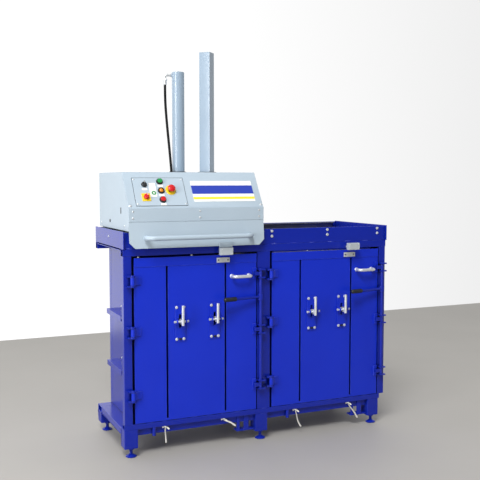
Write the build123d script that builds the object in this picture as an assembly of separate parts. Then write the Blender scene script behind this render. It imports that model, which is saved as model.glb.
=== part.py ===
from build123d import *
from math import atan2, cos, degrees, hypot, pi, radians, sin, tan
import os

# Two-chamber baling press with a press head that is pushed along rails from one chamber to the other.
# X runs along the press, Y to the rear and Z up from the floor, in millimetres.

# Driving dimensions of the chassis
chamber_pitch = 790.0
mid_post_width = 77.0
wall_inset = 35.5
chassis_depth = 575.0
end_overhang = 7.0
foot_height = 51.0
leg_height = 61.0
rail_height = 38.0
sill_height = 28.0
door_sill_gap = 3.0
door_height = 867.5
door_head_gap = 10.5
beam_height = 38.0
rim_height = 84.0
sheet = 4.0

# Sides of the small round shapes that are drawn with few sides
wide_sides = 16
small_sides = 10
bore_sides = 8
hose_sides = 8
hose_steps = 12
strap_steps = 8
arch_steps = 12
wheel_sides = 24
bend_steps = 3

# Base, legs and feet
leg_width = 72.0
mid_leg_x = -12.0
base_right_set = 31.0
leg_right_set = 8.0
base_rear_set = 6.0
front_rail_set = 20.0
front_rail_depth = 40.0
rail_lip = 6.0
foot_offset = 8.0
foot_diameter = 58.0
foot_rim = 6.0
foot_cone = 16.0
foot_stem = 18.0
stirrup_length = 108.0
stirrup_drop = 80.0
stirrup_plate = 9.0
stirrup_bar = 6.0
stirrup_bar_widths = (18.0, 30.0)
stirrup_bar_gap = 24.0
peg_diameter = 20.0
peg_length = 46.0
peg_offset = 240.0

# Posts, beams and track
post_width = 43.5
post_depth = 40.0
rear_post_width = 40.0
beam_wall = 4.0
plate_set = 3.0
rim_plate = 5.0
end_plate = 5.0
end_plate_lead = 12.0
end_plate_rise = 4.0
track_width = 28.0
track_height = 12.0
keeper_leg = 6.0
keeper_drop = 44.0
keeper_reach = 28.0
keeper_end_gap = 25.0
rim_top_gap = 4.0

# Chamber walls
wall_top_gap = 7.0
flange_lap = 18.0
chamber_rear_gap = 52.0
floor_sheet = 6.0
strap_slot = 11.0
strap_offset = 166.0
strap_slot_foot = 11.0
strap_slot_head = 46.5

# Doors
hinge_side_gap = 13.0
lock_side_gap = 6.5
door_back_gap = 1.0
door_skin = 5.0
door_band = 3.0

# Hinges
hinge_height_shares = (0.1752, 0.5591, 0.8657)
hinge_out = 22.0
hinge_past_post = 1.5
hinge_pin = 14.0
knuckle = 24.0
knuckle_height = 40.0
hinge_ear = 10.0
hinge_gap = 1.0
ear_wall = 6.0
ear_root = 26.0
leaf_width = 34.0
leaf_thick = 6.0
web_thick = 8.0
running_gap = 0.05

# Door locks
lock_height_shares = (0.1637, 0.5210, 0.8749)
lock_out = 22.0
lock_past_post = 9.5
lock_shaft = 18.0
lock_shaft_over = 25.0
bearing_plate = 8.0
bearing_gap = 36.0
bearing_width = 36.0
bearing_nose = 14.0
bearing_post_lead = 3.0
claw_height = 20.0
claw_arm = 12.0
claw_length = 37.0
claw_tip = 12.0
lug_thick = 8.0
lug_width = 22.0
lug_height = 60.0
lug_edge_gap = 2.5
lug_gap = 0.5
lever_lift = 25.5
lever_length = 240.0
lever_bar = 17.0
lever_hub = 30.0
lever_hub_height = 34.0
lever_angle = 10.3
grip_length = 78.0
grip_diameter = 25.0

# Door grab handles, retaining claws and switch plates
grab_height_share = 0.8634
grab_edge_gap = 36.5
grab_length = 119.0
grab_bar = 19.0
grab_post = 16.0
grab_out = 42.0
retainer_offset = 98.5
retainer_height_share = 0.6063
retainer_plate_width = 58.0
retainer_plate_height = 196.0
retainer_plate_rise = -11.0
retainer_plate_thick = 5.0
retainer_axle = 12.0
retainer_axle_length = 74.0
retainer_axle_out = 25.0
retainer_ear = 7.0
retainer_ear_radius = 13.0
retainer_ear_spread = 56.0
retainer_slot_width = 14.0
retainer_slot_height = 70.0
retainer_reach = 44.0
retainer_thick = 10.0
pull_bar = 15.0
pull_out = 25.0
pull_below = 18.0
pull_above = 88.0
switch_plate_width = 76.0
switch_plate_height = 26.0
switch_plate_thick = 4.0
switch_plate_drop = 14.5
switch_offset = 150.0
switch_box_width = 74.0
switch_box_height = 40.0
switch_box_depth = 25.0
switch_box_out = 35.0
switch_box_drop = 6.0
switch_spacer_width = 40.0
switch_spacer_height = 12.0

# Reel trays on the left wall
tray_height_shares = (0.3159, 0.6467)
tray_length = 290.0
tray_front_gap = 21.0
tray_sheet = 3.0
tray_lip = 27.0
tray_flange = 52.0
strut_drop = 92.0
strut_bar = 10.0

# Press head
head_end_gap = 34.0
head_clearance = 3.0
cover_height = 303.0
cover_front_height = 117.0
cover_sheet = 3.0
cover_overhang = 28.0
cover_rear_gap = 5.0
slope_run = 119.0
carriage_tube = 40.0
hanger_width = 50.0
hanger_thick = 8.0
hanger_drop = 73.0
hanger_gap = 4.0
beam_plate = 8.0
beam_plate_height = 100.0
beam_plate_gap = 104.0
side_slot_width = 8.0
side_slot_height = 30.0
side_slot_set = 140.0
side_slot_rise = 102.0
roof_gap = 2.0

# Wheelsets
wheel_diameter = 60.0
wheel_width = 22.0
wheel_set = 28.0
wheel_inset = 33.0
wheel_axle = 20.0
wheel_gap = 0.3

# Apron and its push handle
apron_inset = 0.5
apron_sheet = 4.0
apron_strip = 70.0
apron_skirt = 135.0
apron_lean = 12.0
apron_clip = 30.0
push_bar = 25.0
push_bar_inset = 75.5
push_bar_rise = 54.0
push_bar_standoff = 56.0
push_bar_bend = 38.0
tab_drop = 7.0
tab_thick = 4.0
tab_rise = 21.0

# Controls on the sloping face, each placed from the panel's middle and by its height up the slope
panel_width = 277.0
panel_edge_gap = 46.0
panel_low = 12.0
panel_high = 154.0
panel_lap = 5.0
panel_proud = 2.0
enclosure_depth = 91.0
enclosure_inset = 6.0
enclosure_wall = 2.0
contact_width = 24.0
contact_depth = 45.0
contact_gap = 8.0
contact_post = 10.0
control_stem = 21.0
stem_depth = 3.0
stem_gap = 0.4
knob_diameter = 29.0
knob_height = 24.0
knob_wing = 8.0
knob_wing_height = 13.0
selector_place = (-79.5, 118.0)
main_switch_place = (-79.5, 54.0)
start_place = (8.5, 134.0)
lamp_place = (7.5, 87.0)
stop_place = (7.5, 41.0)
emergency_place = (60.5, 90.0)
button_diameter = 27.0
button_height = 11.0
button_travel = 4.0
bezel_width = 5.0
bezel_height = 4.0
lamp_diameter = 24.0
lamp_height = 12.0
emergency_diameter = 42.0
emergency_gap = 8.0
emergency_cap = 14.0
emergency_collar = 58.0
emergency_collar_height = 3.0
emergency_travel = 6.0
main_plate = 46.0
main_plate_height = 3.0

# Cylinder, guide and press plate
cylinder_y_share = 0.488
cylinder_top = 2042.0
barrel_diameter = 70.0
barrel_bore = 50.0
barrel_foot_gap = 12.0
barrel_cap = 22.0
barrel_flange = 130.0
barrel_flange_thick = 15.0
gland_length = 40.0
rod_diameter = 36.0
rod_gap = 0.1
rod_top_gap = 40.0
piston_height = 30.0
port_boss = 18.0
port_reach = 42.0
port_drop = 17.0
fitting_bore = 15.0
fitting_bend = 10.0
ferrule_diameter = 19.0
ferrule_length = 27.0
hose_diameter = 14.0
guide_offset = 170.5
guide_tube_side = 64.0
guide_tube_wall = 5.0
guide_tube_top = 2161.0
guide_tube_gap = 0.4
guide_block = 130.0
guide_block_height = 60.0
press_side_gap = 11.0
press_end_gap = 11.5
press_plate_height = 80.0
press_plate_gap = 3.0
press_skin = 12.0
press_rim = 6.0
press_rim_drop = 20.0
press_beam = 110.0
press_groove = 14.0
press_groove_depth = 8.0

# Hydraulic unit inside the head
valve_width = 60.0
valve_depth = 70.0
valve_gap = 3.0
valve_rise = 82.0
tank_width = 260.0
tank_depth = 175.0
tank_height = 172.0
tank_side_gap = 10.0
tank_rear_gap = 8.0
motor_diameter = 120.0
motor_length = 220.0
motor_offset = 190.0
motor_foot = 12.0
motor_foot_depth = 110.0

# Hose points from the ferrule into the head, chosen by hand, from the middle of the cylinder's top
hose_points = [
    (-75.6, 0.0, -70.0),
    (-75.6, 0.0, -152.0),
    (-71.2, -4.0, -237.0),
    (-65.0, -9.5, -327.0),
    (-58.0, -15.2, -417.0),
    (-52.2, -19.8, -497.0),
    (-48.6, -22.6, -552.0),
    (-48.6, -22.6, -597.0),
]

# Baling strap tails that hang out under the sill, chosen by hand, X and Z in a plane of their own
strap_width = 9.0
strap_thick = 1.2
strap_set = 8.0
strap_knot = 13.0
strap_routes = {
    "strap_tail_1": [(-572.0, 140.0), (-574.0, 118.0), (-570.5, 96.0), (-571.0, 76.0), (-568.5, 57.0)],
    "strap_tail_2": [(-236.0, 140.0), (-219.0, 131.0), (-199.0, 122.0), (-181.0, 109.0), (-165.0, 97.0)],
    "strap_tail_3": [(206.0, 140.0), (214.0, 115.0), (218.5, 88.0), (228.0, 62.0), (243.0, 40.0)],
    "strap_tail_4": [(555.0, 140.0), (570.0, 117.0), (588.0, 96.0), (606.0, 71.0), (622.0, 45.0)],
}

# Outlines as shares of the size that they follow
retainer_outline_shares = (
    (-0.57, -0.30), (-0.57, 0.50), (-0.30, 0.34), (0.0, 0.32), (0.70, 0.20),
    (1.0, -0.10), (0.95, -0.36), (0.72, -0.14), (0.0, -0.32),
)

# Heights and places worked out from the driving dimensions
rail_z = foot_height + leg_height
sill_z = rail_z + rail_height
sill_top = sill_z + sill_height
door_z = sill_top + door_sill_gap
door_top = door_z + door_height
hinge_heights = [door_z + share * door_height for share in hinge_height_shares]
lock_heights = [door_z + share * door_height for share in lock_height_shares]
tray_heights = [door_z + share * door_height for share in tray_height_shares]
grab_height = door_z + grab_height_share * door_height
retainer_height = door_z + retainer_height_share * door_height
lever_height = (lock_heights[-2] + lock_heights[-1]) / 2 + lever_lift
beam_z = door_top + door_head_gap
rim_z = beam_z + beam_height
rim_top = rim_z + rim_height
wall_top = rim_z - wall_top_gap
head_z = rim_top + end_plate_rise + head_clearance
slope_z = head_z + cover_front_height
roof_z = head_z + cover_height
apron_fold_z = slope_z - apron_strip
apron_foot_z = apron_fold_z - apron_skirt
push_bar_z = apron_foot_z + push_bar_rise
push_bar_lean = apron_lean * (apron_fold_z - push_bar_z) / apron_skirt

front_reach = cover_overhang + apron_sheet + push_bar_lean + push_bar_standoff + push_bar / 2
overall_depth = front_reach + chassis_depth
front_y = front_reach - overall_depth / 2
rear_y = overall_depth / 2
chamber_front = front_y + post_depth
chamber_rear = rear_y - chamber_rear_gap
cylinder_y = chamber_front + cylinder_y_share * (chamber_rear - chamber_front) + sheet

chassis_half = chamber_pitch + end_overhang
half_pitch = chamber_pitch / 2
chambers = {"left": -half_pitch, "right": half_pitch}
head_x = chambers["left"]
door_opening = chamber_pitch - mid_post_width
door_width = door_opening - hinge_side_gap - lock_side_gap
chamber_width = door_opening - 2 * wall_inset
wall_in = chamber_width / 2
wall_out = wall_in + sheet
post_in = door_opening / 2
base_left = -chassis_half
base_right = chassis_half - base_right_set
door_left = hinge_side_gap - post_in
door_right = door_left + door_width
grab_offset = door_right - grab_edge_gap - grab_length / 2
door_depth = post_depth - door_back_gap
hinge_x = -post_in - hinge_past_post
hinge_y = front_y - hinge_out
lock_x = post_in + lock_past_post
lock_y = front_y - lock_out
track_top = rim_z + track_height
wheel_z = track_top + wheel_gap + wheel_diameter / 2
wheel_rows = (front_y + wheel_set, rear_y - wheel_set)
head_width = chamber_pitch - head_end_gap
wheel_spread = head_width - 2 * wheel_inset
apron_width = head_width - 2 * apron_inset
push_bar_length = apron_width - 2 * push_bar_inset
panel_offset = panel_edge_gap + (panel_width - head_width) / 2
press_plate_width = chamber_width - 2 * press_side_gap
press_plate_depth = chamber_rear - chamber_front - 2 * press_end_gap
hose_route = [(head_x + x, cylinder_y + y, cylinder_top + z) for x, y, z in hose_points]
press_top = head_z - press_plate_gap
press_foot = press_top - press_plate_height
beam_plate_top = head_z + beam_plate_height
flange_top = beam_plate_top + barrel_flange_thick
cover_front = front_y - cover_overhang
cover_rear = rear_y - cover_rear_gap
slope_rise = roof_z - slope_z
slope_length = hypot(slope_run, slope_rise)
slope_plane = Plane(
    origin=(head_x, cover_front, slope_z),
    x_dir=(1, 0, 0),
    z_dir=(0, -slope_rise / slope_length, slope_run / slope_length),
)

nodes = {}


# Building blocks
def block(x, y, z):
    """Box between the two ends given for each direction."""
    size = [high - low for low, high in (x, y, z)]
    return Pos(*[(low + high) / 2 for low, high in (x, y, z)]) * Box(*size)


def prism(plane, points, start, end):
    """Polygon drawn on a base plane and carried from start to end along that plane's world axis."""
    axis = {"YZ": Vector(1, 0, 0), "XZ": Vector(0, 1, 0), "XY": Vector(0, 0, 1)}[plane]
    face = make_face(getattr(Plane, plane) * Polyline(*points, close=True))
    return Location(axis * start) * extrude(face, amount=end - start, dir=axis)


def upright(diameter, length, sides=0):
    """Bar up from the ground plane, round or with few sides whose corners lie on the diameter."""
    if sides:
        return extrude(RegularPolygon(diameter / 2, sides), amount=length)
    return Cylinder(diameter / 2, length, align=(Align.CENTER, Align.CENTER, Align.MIN))


def rod(start, end, diameter, sides=0):
    """Bar between two points, round or with few sides."""
    axis = Vector(*end) - Vector(*start)
    return Plane(origin=start, z_dir=axis) * upright(diameter, axis.length, sides)


def bore(start, end, diameter):
    """Few-sided hole between two points, round which a bar of this diameter just fits."""
    return rod(start, end, diameter / cos(pi / bore_sides), bore_sides)


def bent_bar(path, x_dir, diameter, sides):
    """Few-sided bar along a path whose arcs are taken in short straight runs."""
    points = [path @ 0]
    for edge in path.edges():
        steps = bend_steps if edge.geom_type == GeomType.CIRCLE else 1
        points += [edge @ (step / steps) for step in range(1, steps + 1)]
    start = Plane(origin=points[0], x_dir=x_dir, z_dir=points[1] - points[0])
    section = start * RegularPolygon(diameter / 2, sides)
    return sweep(section, path=Polyline(*points), transition=Transition.RIGHT)


def square_tube(x, y, z, wall, run):
    """Rectangular tube along run, one of X, Y or Z, open at its ends."""
    inner = [(low + wall, high - wall) for low, high in (x, y, z)]
    at = "XYZ".index(run)
    inner[at] = (x, y, z)[at]
    return block(x, y, z) - block(*inner)


def rounded_path(points, share=0.45):
    """Straight runs joined by tangent arcs as large as the two runs at each point allow."""
    spots = [Vector(*point) for point in points]
    runs = [b - a for a, b in zip(spots, spots[1:])]
    radii = []
    for first, second in zip(runs, runs[1:]):
        half_turn = radians(first.get_angle(second)) / 2
        radii.append(share * min(first.length, second.length) / tan(half_turn))
    return FilletPolyline(*spots, radius=radii), radii


def along(path, steps, x_dir, section):
    """One section, set square to the path at even steps along it."""
    spots = [step / steps for step in range(steps + 1)]
    return [Plane(origin=path @ spot, x_dir=x_dir, z_dir=path % spot) * section for spot in spots]


def fused(*solids):
    """Several touching solids as one."""
    whole = solids[0]
    for other in solids[1:]:
        whole = whole + other
    return whole


# Base: legs, rails, sill, strap pegs and the stirrups beside two legs
def make_base():
    leg_centres = (base_left + leg_width / 2, mid_leg_x, base_right - leg_right_set - leg_width / 2)
    leg_rear = front_y + leg_width
    rear_rail = (rear_y - base_rear_set - leg_width, rear_y - base_rear_set)
    rails_z = (rail_z, sill_z)
    front_rail_y = (front_y + front_rail_set, front_y + front_rail_set + front_rail_depth)
    wall_line = half_pitch + wall_in
    solids = []
    for x in leg_centres:
        span = (x - leg_width / 2, x + leg_width / 2)
        solids.append(block(span, (front_y, leg_rear), (foot_height, sill_z)))
        solids.append(block(span, rear_rail, (foot_height, rail_z)))
    for start, end in zip(leg_centres, leg_centres[1:]):
        span = (start + leg_width / 2, end - leg_width / 2)
        solids.append(square_tube(span, front_rail_y, rails_z, sheet, "X"))
    solids.append(square_tube((base_left, base_right), rear_rail, rails_z, sheet, "X"))
    mid_half = half_pitch - wall_in + rail_lip
    side_spans = (
        (base_left, rail_lip - wall_line),
        (-mid_half, mid_half),
        (wall_line - rail_lip, base_right),
    )
    front_ends = (leg_rear, max(leg_rear, front_rail_y[1]), leg_rear)
    for span, front in zip(side_spans, front_ends):
        solids.append(square_tube(span, (front, rear_rail[0]), rails_z, sheet, "Y"))
    solids.append(
        square_tube((base_left, base_right), (front_y, front_y + post_depth), (sill_z, sill_top), sheet, "X")
    )
    for x in chambers.values():
        spot = (x - peg_offset, front_y + front_rail_set / 2)
        solids.append(rod((*spot, sill_z), (*spot, sill_z - peg_length), peg_diameter, small_sides))
    for x in leg_centres[1:]:
        solids.append(make_stirrup(x - leg_width / 2, front_rail_y))
    feet = [make_foot(x + foot_offset, y) for x in leg_centres for y in make_foot_rows(rear_rail)]
    nodes["base_frame"] = solids
    nodes["levelling_feet"] = feet


def make_foot_rows(rear_rail):
    """Y of the front and the rear feet, on the middle of their legs."""
    return front_y + leg_width / 2, (rear_rail[0] + rear_rail[1]) / 2


def make_foot(x, y):
    """Foot of few sides: disc, cone and stem up to the leg."""
    rim, neck = RegularPolygon(foot_diameter / 2, small_sides), RegularPolygon(foot_stem / 2, small_sides)
    flat_share = cos(pi / small_sides)
    cone_height = foot_cone - foot_rim
    slant = degrees(atan2(flat_share * (foot_diameter - foot_stem) / 2, cone_height))
    cone = Pos(0, 0, foot_rim) * extrude(rim, amount=cone_height, taper=slant)
    stem = Pos(0, 0, foot_cone) * extrude(neck, amount=foot_height - foot_cone)
    return Pos(x, y, 0) * fused(extrude(rim, amount=foot_rim), cone, stem)


def make_stirrup(leg_x, rail_y):
    """Foot plate beside a leg, hung from the rail's front face by two flat bars."""
    bars_y = (rail_y[0] - stirrup_bar, rail_y[0])
    low = sill_z - stirrup_drop
    left = leg_x - stirrup_length
    plate = block((left, leg_x), (bars_y[0], rail_y[1]), (low - stirrup_plate, low))
    first, second = stirrup_bar_widths
    starts = (left, left + first + stirrup_bar_gap)
    bars = [
        block((start, start + width), bars_y, (low, sill_z))
        for start, width in zip(starts, (first, second))
    ]
    return fused(plate, *bars)


# Posts, beams, rim plates and the track that the head runs on
def make_frame():
    post_y = (front_y, front_y + post_depth)
    posts_z = (sill_top, beam_z)
    outer = half_pitch + post_in
    middle = (post_in - half_pitch, half_pitch - post_in)
    spans = ((-outer - post_width, -outer), middle, (outer, outer + post_width))
    nodes["front_posts"] = [square_tube(span, post_y, posts_z, sheet, "Z") for span in spans]
    rear_y_span = (chamber_rear + sheet, rear_y)
    nodes["rear_posts"] = [
        square_tube((x + start, x + start + rear_post_width), rear_y_span, (sill_z, beam_z), sheet, "Z")
        for x in chambers.values()
        for start in (-wall_out, wall_out - rear_post_width)
    ]
    nodes["front_beam"] = make_beam(front_y, 1)
    nodes["rear_beam"] = make_beam(rear_y, -1)
    plate_y = (front_y - end_plate_lead, rear_y)
    plate_z = (rim_z, rim_top + end_plate_rise)
    nodes["end_plates"] = [
        block(span, plate_y, plate_z)
        for span in ((-chassis_half, end_plate - chassis_half), (chassis_half - end_plate, chassis_half))
    ]
    nodes["track_rails"] = [
        solid for face, turn in ((front_y, 1), (rear_y, -1)) for solid in make_track(face, turn)
    ]


def across(face, turn, start, end):
    """Y span measured inwards from the chassis face at the front (turn 1) or the rear (turn -1)."""
    return tuple(sorted((face + turn * start, face + turn * end)))


def make_beam(face, turn):
    """Tube along the press with an upright rim plate welded on its top, just behind its face."""
    tube = square_tube(
        (-chassis_half, chassis_half), across(face, turn, 0, post_depth), (beam_z, rim_z), beam_wall, "X"
    )
    inner = chassis_half - end_plate
    rim_y = across(face, turn, plate_set, plate_set + rim_plate)
    return [tube, block((-inner, inner), rim_y, (rim_z, rim_top))]


def make_track(face, turn):
    """Rail bar on the beam, and above each chamber an angle that keeps the wheels down."""
    inner = chassis_half - end_plate
    bar = block((-inner, inner), across(face, turn, post_depth - track_width, post_depth), (rim_z, track_top))
    behind = plate_set + rim_plate
    keeper_top = rim_top - rim_top_gap
    keepers = []
    for x in chambers.values():
        span = (x - half_pitch + keeper_end_gap, x + half_pitch - keeper_end_gap)
        under = keeper_top - keeper_leg
        leg = block(span, across(face, turn, behind, behind + keeper_leg), (keeper_top - keeper_drop, under))
        top = block(span, across(face, turn, behind, behind + keeper_reach), (under, keeper_top))
        keepers += [leg, top]
    return [bar, *keepers]


# Folded chamber walls, rear walls with strap slots and floors with strap troughs
def make_chambers():
    left, right = chambers["left"], chambers["right"]
    outer = half_pitch + post_in + flange_lap
    nodes["left_side_wall"] = [make_side_wall(left - wall_in, -1, outer, chassis_half)]
    nodes["right_side_wall"] = [make_side_wall(right + wall_in, 1, outer, chassis_half)]
    inner = half_pitch - post_in - flange_lap
    nodes["divider_walls"] = [
        make_side_wall(left + wall_in, 1, -inner, 0),
        make_side_wall(right - wall_in, -1, -inner, 0),
    ]
    strap_z = (door_z + strap_slot_foot, door_top - strap_slot_head)
    rear_y_span = (chamber_rear, chamber_rear + sheet)
    rear_walls = []
    for x in chambers.values():
        wall = block((x - wall_out, x + wall_out), rear_y_span, (sill_z, wall_top))
        for spot in (x - strap_offset, x + strap_offset):
            wall -= block((spot - strap_slot / 2, spot + strap_slot / 2), rear_y_span, strap_z)
        rear_walls.append(wall)
    nodes["rear_walls"] = rear_walls
    nodes["chamber_floors"] = [make_floor(x) for x in chambers.values()]


def make_side_wall(face_x, turn, lap_x, reach_x):
    """Wall sheet whose front edge is folded out behind the post and whose top is folded out to reach_x."""
    back = face_x + turn * sheet
    front = chamber_front
    lap = turn * lap_x
    reach = turn * reach_x
    plan = [
        (face_x, front), (lap, front), (lap, front + sheet), (back, front + sheet),
        (back, chamber_rear), (face_x, chamber_rear),
    ]
    wall = prism("XY", plan, sill_z, wall_top)
    rim_rear = rear_y - post_depth
    lip = block(tuple(sorted((back, reach))), (front + sheet, rim_rear), (wall_top - sheet, wall_top))
    return wall + lip


def make_floor(x):
    """Floor sheet with edges turned down onto the rails and a trough under each strap slot."""
    top = sill_top
    under = top - floor_sheet
    half_trough = strap_slot / 2 + sheet
    plan_y = (chamber_front + sheet, chamber_rear)
    floor = block((x - wall_in, x + wall_in), plan_y, (under, top))
    for edge in ((x - wall_in, x - wall_in + sheet), (x + wall_in - sheet, x + wall_in)):
        floor += block(edge, plan_y, (sill_z, under))
    for spot in (x - strap_offset, x + strap_offset):
        floor += block((spot - half_trough, spot + half_trough), plan_y, (sill_z, under))
    for spot in (x - strap_offset, x + strap_offset):
        floor -= block((spot - strap_slot / 2, spot + strap_slot / 2), plan_y, (sill_z + sheet, top))
    return floor


# Doors with folded panels, hinge knuckles and lock lugs
def make_doors():
    for side, x in chambers.items():
        nodes[f"{side}_door"] = [make_door(x)]
        nodes[f"{side}_door_handle"] = [make_grab(x)]
        nodes[f"{side}_door_fittings"] = make_door_fittings(x)
        for name, turn in (("outer", -1), ("inner", 1)):
            spot = door_centre(x) + turn * retainer_offset
            nodes[f"{side}_{name}_claw"] = [make_retainer(spot)]
    nodes["hinge_brackets"] = [make_hinge(x, z) for x in chambers.values() for z in hinge_heights]


def door_centre(x):
    """Middle of a door, given the middle of its chamber."""
    return x + (door_left + door_right) / 2


def make_door(x):
    """Door of three panels folded back at their edges, a strap slot between each two and a band on top."""
    edges = (x + door_left, x + door_right)
    door = block(edges, (front_y, front_y + door_depth), (door_z, door_top))
    slots = (x - strap_offset, x + strap_offset)
    half = strap_slot / 2
    starts = (edges[0], slots[0] + half, slots[1] + half)
    ends = (slots[0] - half, slots[1] - half, edges[1])
    back = (front_y + door_skin, front_y + door_depth)
    for start, end in zip(starts, ends):
        door -= block((start + door_skin, end - door_skin), back, (door_z + door_skin, door_top - door_skin))
    slot_z = (door_z + strap_slot_foot, door_top - strap_slot_head)
    for spot in slots:
        door -= block((spot - half, spot + half), (front_y, front_y + door_depth), slot_z)
    claw_z = (retainer_height - retainer_slot_height / 2, retainer_height + retainer_slot_height / 2)
    for turn in (-1, 1):
        spot = door_centre(x) + turn * retainer_offset
        claw_x = (spot - retainer_slot_width / 2, spot + retainer_slot_width / 2)
        door -= block(claw_x, (front_y, front_y + door_skin), claw_z)
    door += block(edges, (front_y - door_band, front_y), (slot_z[1], door_top))
    for z in hinge_heights:
        door += make_knuckle(x, z)
    lug_x = (edges[1] - lug_edge_gap - lug_width, edges[1] - lug_edge_gap)
    for z in lock_heights:
        door += block(lug_x, (front_y - lug_thick, front_y), (z - lug_height / 2, z + lug_height / 2))
    return door


def make_knuckle(x, z):
    """Door half of a hinge: a leaf on the door's face, a web and the knuckle with its bore."""
    low, high = z - knuckle_height / 2, z + knuckle_height / 2
    axis_x = x + hinge_x
    edge = x + door_left
    leaf = block((edge, edge + leaf_width), (front_y - leaf_thick, front_y), (low, high))
    web_points = [
        (axis_x, hinge_y - web_thick / 2), (edge + leaf_width / 2, front_y - leaf_thick),
        (edge, front_y - leaf_thick), (axis_x, hinge_y + web_thick / 2),
    ]
    body = leaf + prism("XY", web_points, low, high)
    body += rod((axis_x, hinge_y, low), (axis_x, hinge_y, high), knuckle, small_sides)
    return body - bore((axis_x, hinge_y, low), (axis_x, hinge_y, high), hinge_pin + 2 * running_gap)


def make_hinge(x, z):
    """Post half of a hinge: two ears and the pin through them."""
    axis_x = x + hinge_x
    half = knuckle_height / 2 + hinge_gap
    nose = hinge_pin / 2 + ear_wall
    ears = []
    for low in (z - half - hinge_ear, z + half):
        root = block((axis_x - ear_root, axis_x), (hinge_y - ear_wall, front_y), (low, low + hinge_ear))
        end = (axis_x, hinge_y, low + hinge_ear)
        ears.append(root + rod((axis_x, hinge_y, low), end, 2 * nose, small_sides))
    pin = rod((axis_x, hinge_y, z - half - hinge_ear), (axis_x, hinge_y, z + half + hinge_ear), hinge_pin)
    return fused(*ears, pin)


def make_grab(x):
    """Round grab bar on two stand-offs near the door's lock side."""
    y = front_y - grab_out
    start, end = x + grab_offset - grab_length / 2, x + grab_offset + grab_length / 2
    inset = grab_bar / 2
    solids = [rod((start, y, grab_height), (end, y, grab_height), grab_bar, small_sides)]
    for spot in (start + inset, end - inset):
        solids.append(rod((spot, y, grab_height), (spot, front_y, grab_height), grab_post, small_sides))
    return fused(*solids)


def make_door_fittings(x):
    """Bearing plates of the retaining claws and the plate that the door switch senses."""
    solids = []
    for turn in (-1, 1):
        solids.append(make_claw_mount(door_centre(x) + turn * retainer_offset))
    spot = x + switch_offset
    top = door_top - switch_plate_drop
    plate_x = (spot - switch_plate_width / 2, spot + switch_plate_width / 2)
    face = front_y - door_band
    solids.append(block(plate_x, (face - switch_plate_thick, face), (top - switch_plate_height, top)))
    return solids


def make_claw_mount(x):
    """Plate with a slot for the claw and two ears that carry its axle."""
    face = front_y - retainer_plate_thick
    middle = retainer_height + retainer_plate_rise
    half_w, half_h = retainer_plate_width / 2, retainer_plate_height / 2
    plate = block((x - half_w, x + half_w), (face, front_y), (middle - half_h, middle + half_h))
    slot_z = (retainer_height - retainer_slot_height / 2, retainer_height + retainer_slot_height / 2)
    half_s = retainer_slot_width / 2
    plate -= block((x - half_s, x + half_s), (face, front_y), slot_z)
    axle_y = front_y - retainer_axle_out
    low, high = retainer_height - retainer_ear_radius, retainer_height + retainer_ear_radius
    for turn in (-1, 1):
        inner = x + turn * (retainer_ear_spread / 2 - retainer_ear)
        outer = x + turn * retainer_ear_spread / 2
        ear = block(tuple(sorted((inner, outer))), (axle_y, face), (low, high))
        ends = ((inner, axle_y, retainer_height), (outer, axle_y, retainer_height))
        ear += rod(*ends, 2 * retainer_ear_radius, small_sides)
        plate += ear - bore(*ends, retainer_axle + 2 * running_gap)
    return plate


def make_retainer(x):
    """Retaining claw: hooked plate on its axle with an upright pull bar in front."""
    axle_y = front_y - retainer_axle_out
    points = [
        (axle_y + across_share * retainer_reach, retainer_height + up_share * retainer_reach)
        for across_share, up_share in retainer_outline_shares
    ]
    half = retainer_thick / 2
    hook = prism("YZ", points, x - half, x + half)
    half_axle = retainer_axle_length / 2
    ends = [(x + turn * half_axle, axle_y, retainer_height) for turn in (-1, 1)]
    axle = rod(*ends, retainer_axle)
    bar_y = axle_y - pull_out
    bar_z = (retainer_height - pull_below, retainer_height + pull_above)
    bar = rod((x, bar_y, bar_z[0]), (x, bar_y, bar_z[1]), pull_bar, small_sides)
    return fused(hook, axle, bar)


# Door locks: one upright shaft with three claws and a lever, in bearing plates on the post
def make_locks():
    bearings = []
    for side, x in chambers.items():
        nodes[f"{side}_lock_bar"] = [make_lock_bar(x)]
        nodes[f"{side}_lock_grip"] = [make_lock_grip(x)]
        for z in lock_heights:
            for low in (z - bearing_gap / 2 - bearing_plate, z + bearing_gap / 2):
                bearings.append(make_bearing(x, low))
    nodes["lock_bearings"] = bearings


def make_bearing(x, low):
    """Plate on the post with a bore for the lock shaft."""
    start = x + post_in - bearing_post_lead
    nose = front_y - lock_out - bearing_nose
    plate = block((start, start + bearing_width), (nose, front_y), (low, low + bearing_plate))
    spot = (x + lock_x, lock_y)
    return plate - bore((*spot, low), (*spot, low + bearing_plate), lock_shaft + 2 * running_gap)


def lever_points(x):
    """Ends of the lever's bar and of its grip along one straight line."""
    turn = radians(lever_angle)
    ends = []
    for reach in (0, lever_length - grip_length, lever_length):
        ends.append((x + lock_x - reach * cos(turn), lock_y - reach * sin(turn), lever_height))
    return ends


def make_lock_bar(x):
    """Lock shaft, its claws in front of the door's lugs, and the lever with its hub."""
    centre = x + lock_x
    low, high = lock_heights[0] - lock_shaft_over, lock_heights[-1] + lock_shaft_over
    bar = rod((centre, lock_y, low), (centre, lock_y, high), lock_shaft)
    tip_y = front_y - lug_thick - lug_gap
    tip_x = centre - claw_length
    for z in lock_heights:
        span = (z - claw_height / 2, z + claw_height / 2)
        bar += block((tip_x, centre), (lock_y - claw_arm / 2, lock_y + claw_arm / 2), span)
        bar += block((tip_x, tip_x + claw_tip), (lock_y, tip_y), span)
    start, middle, _ = lever_points(x)
    hub = (lever_height - lever_hub_height / 2, lever_height + lever_hub_height / 2)
    bar += rod((centre, lock_y, hub[0]), (centre, lock_y, hub[1]), lever_hub, small_sides)
    return bar + rod(start, middle, lever_bar, small_sides)


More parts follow.
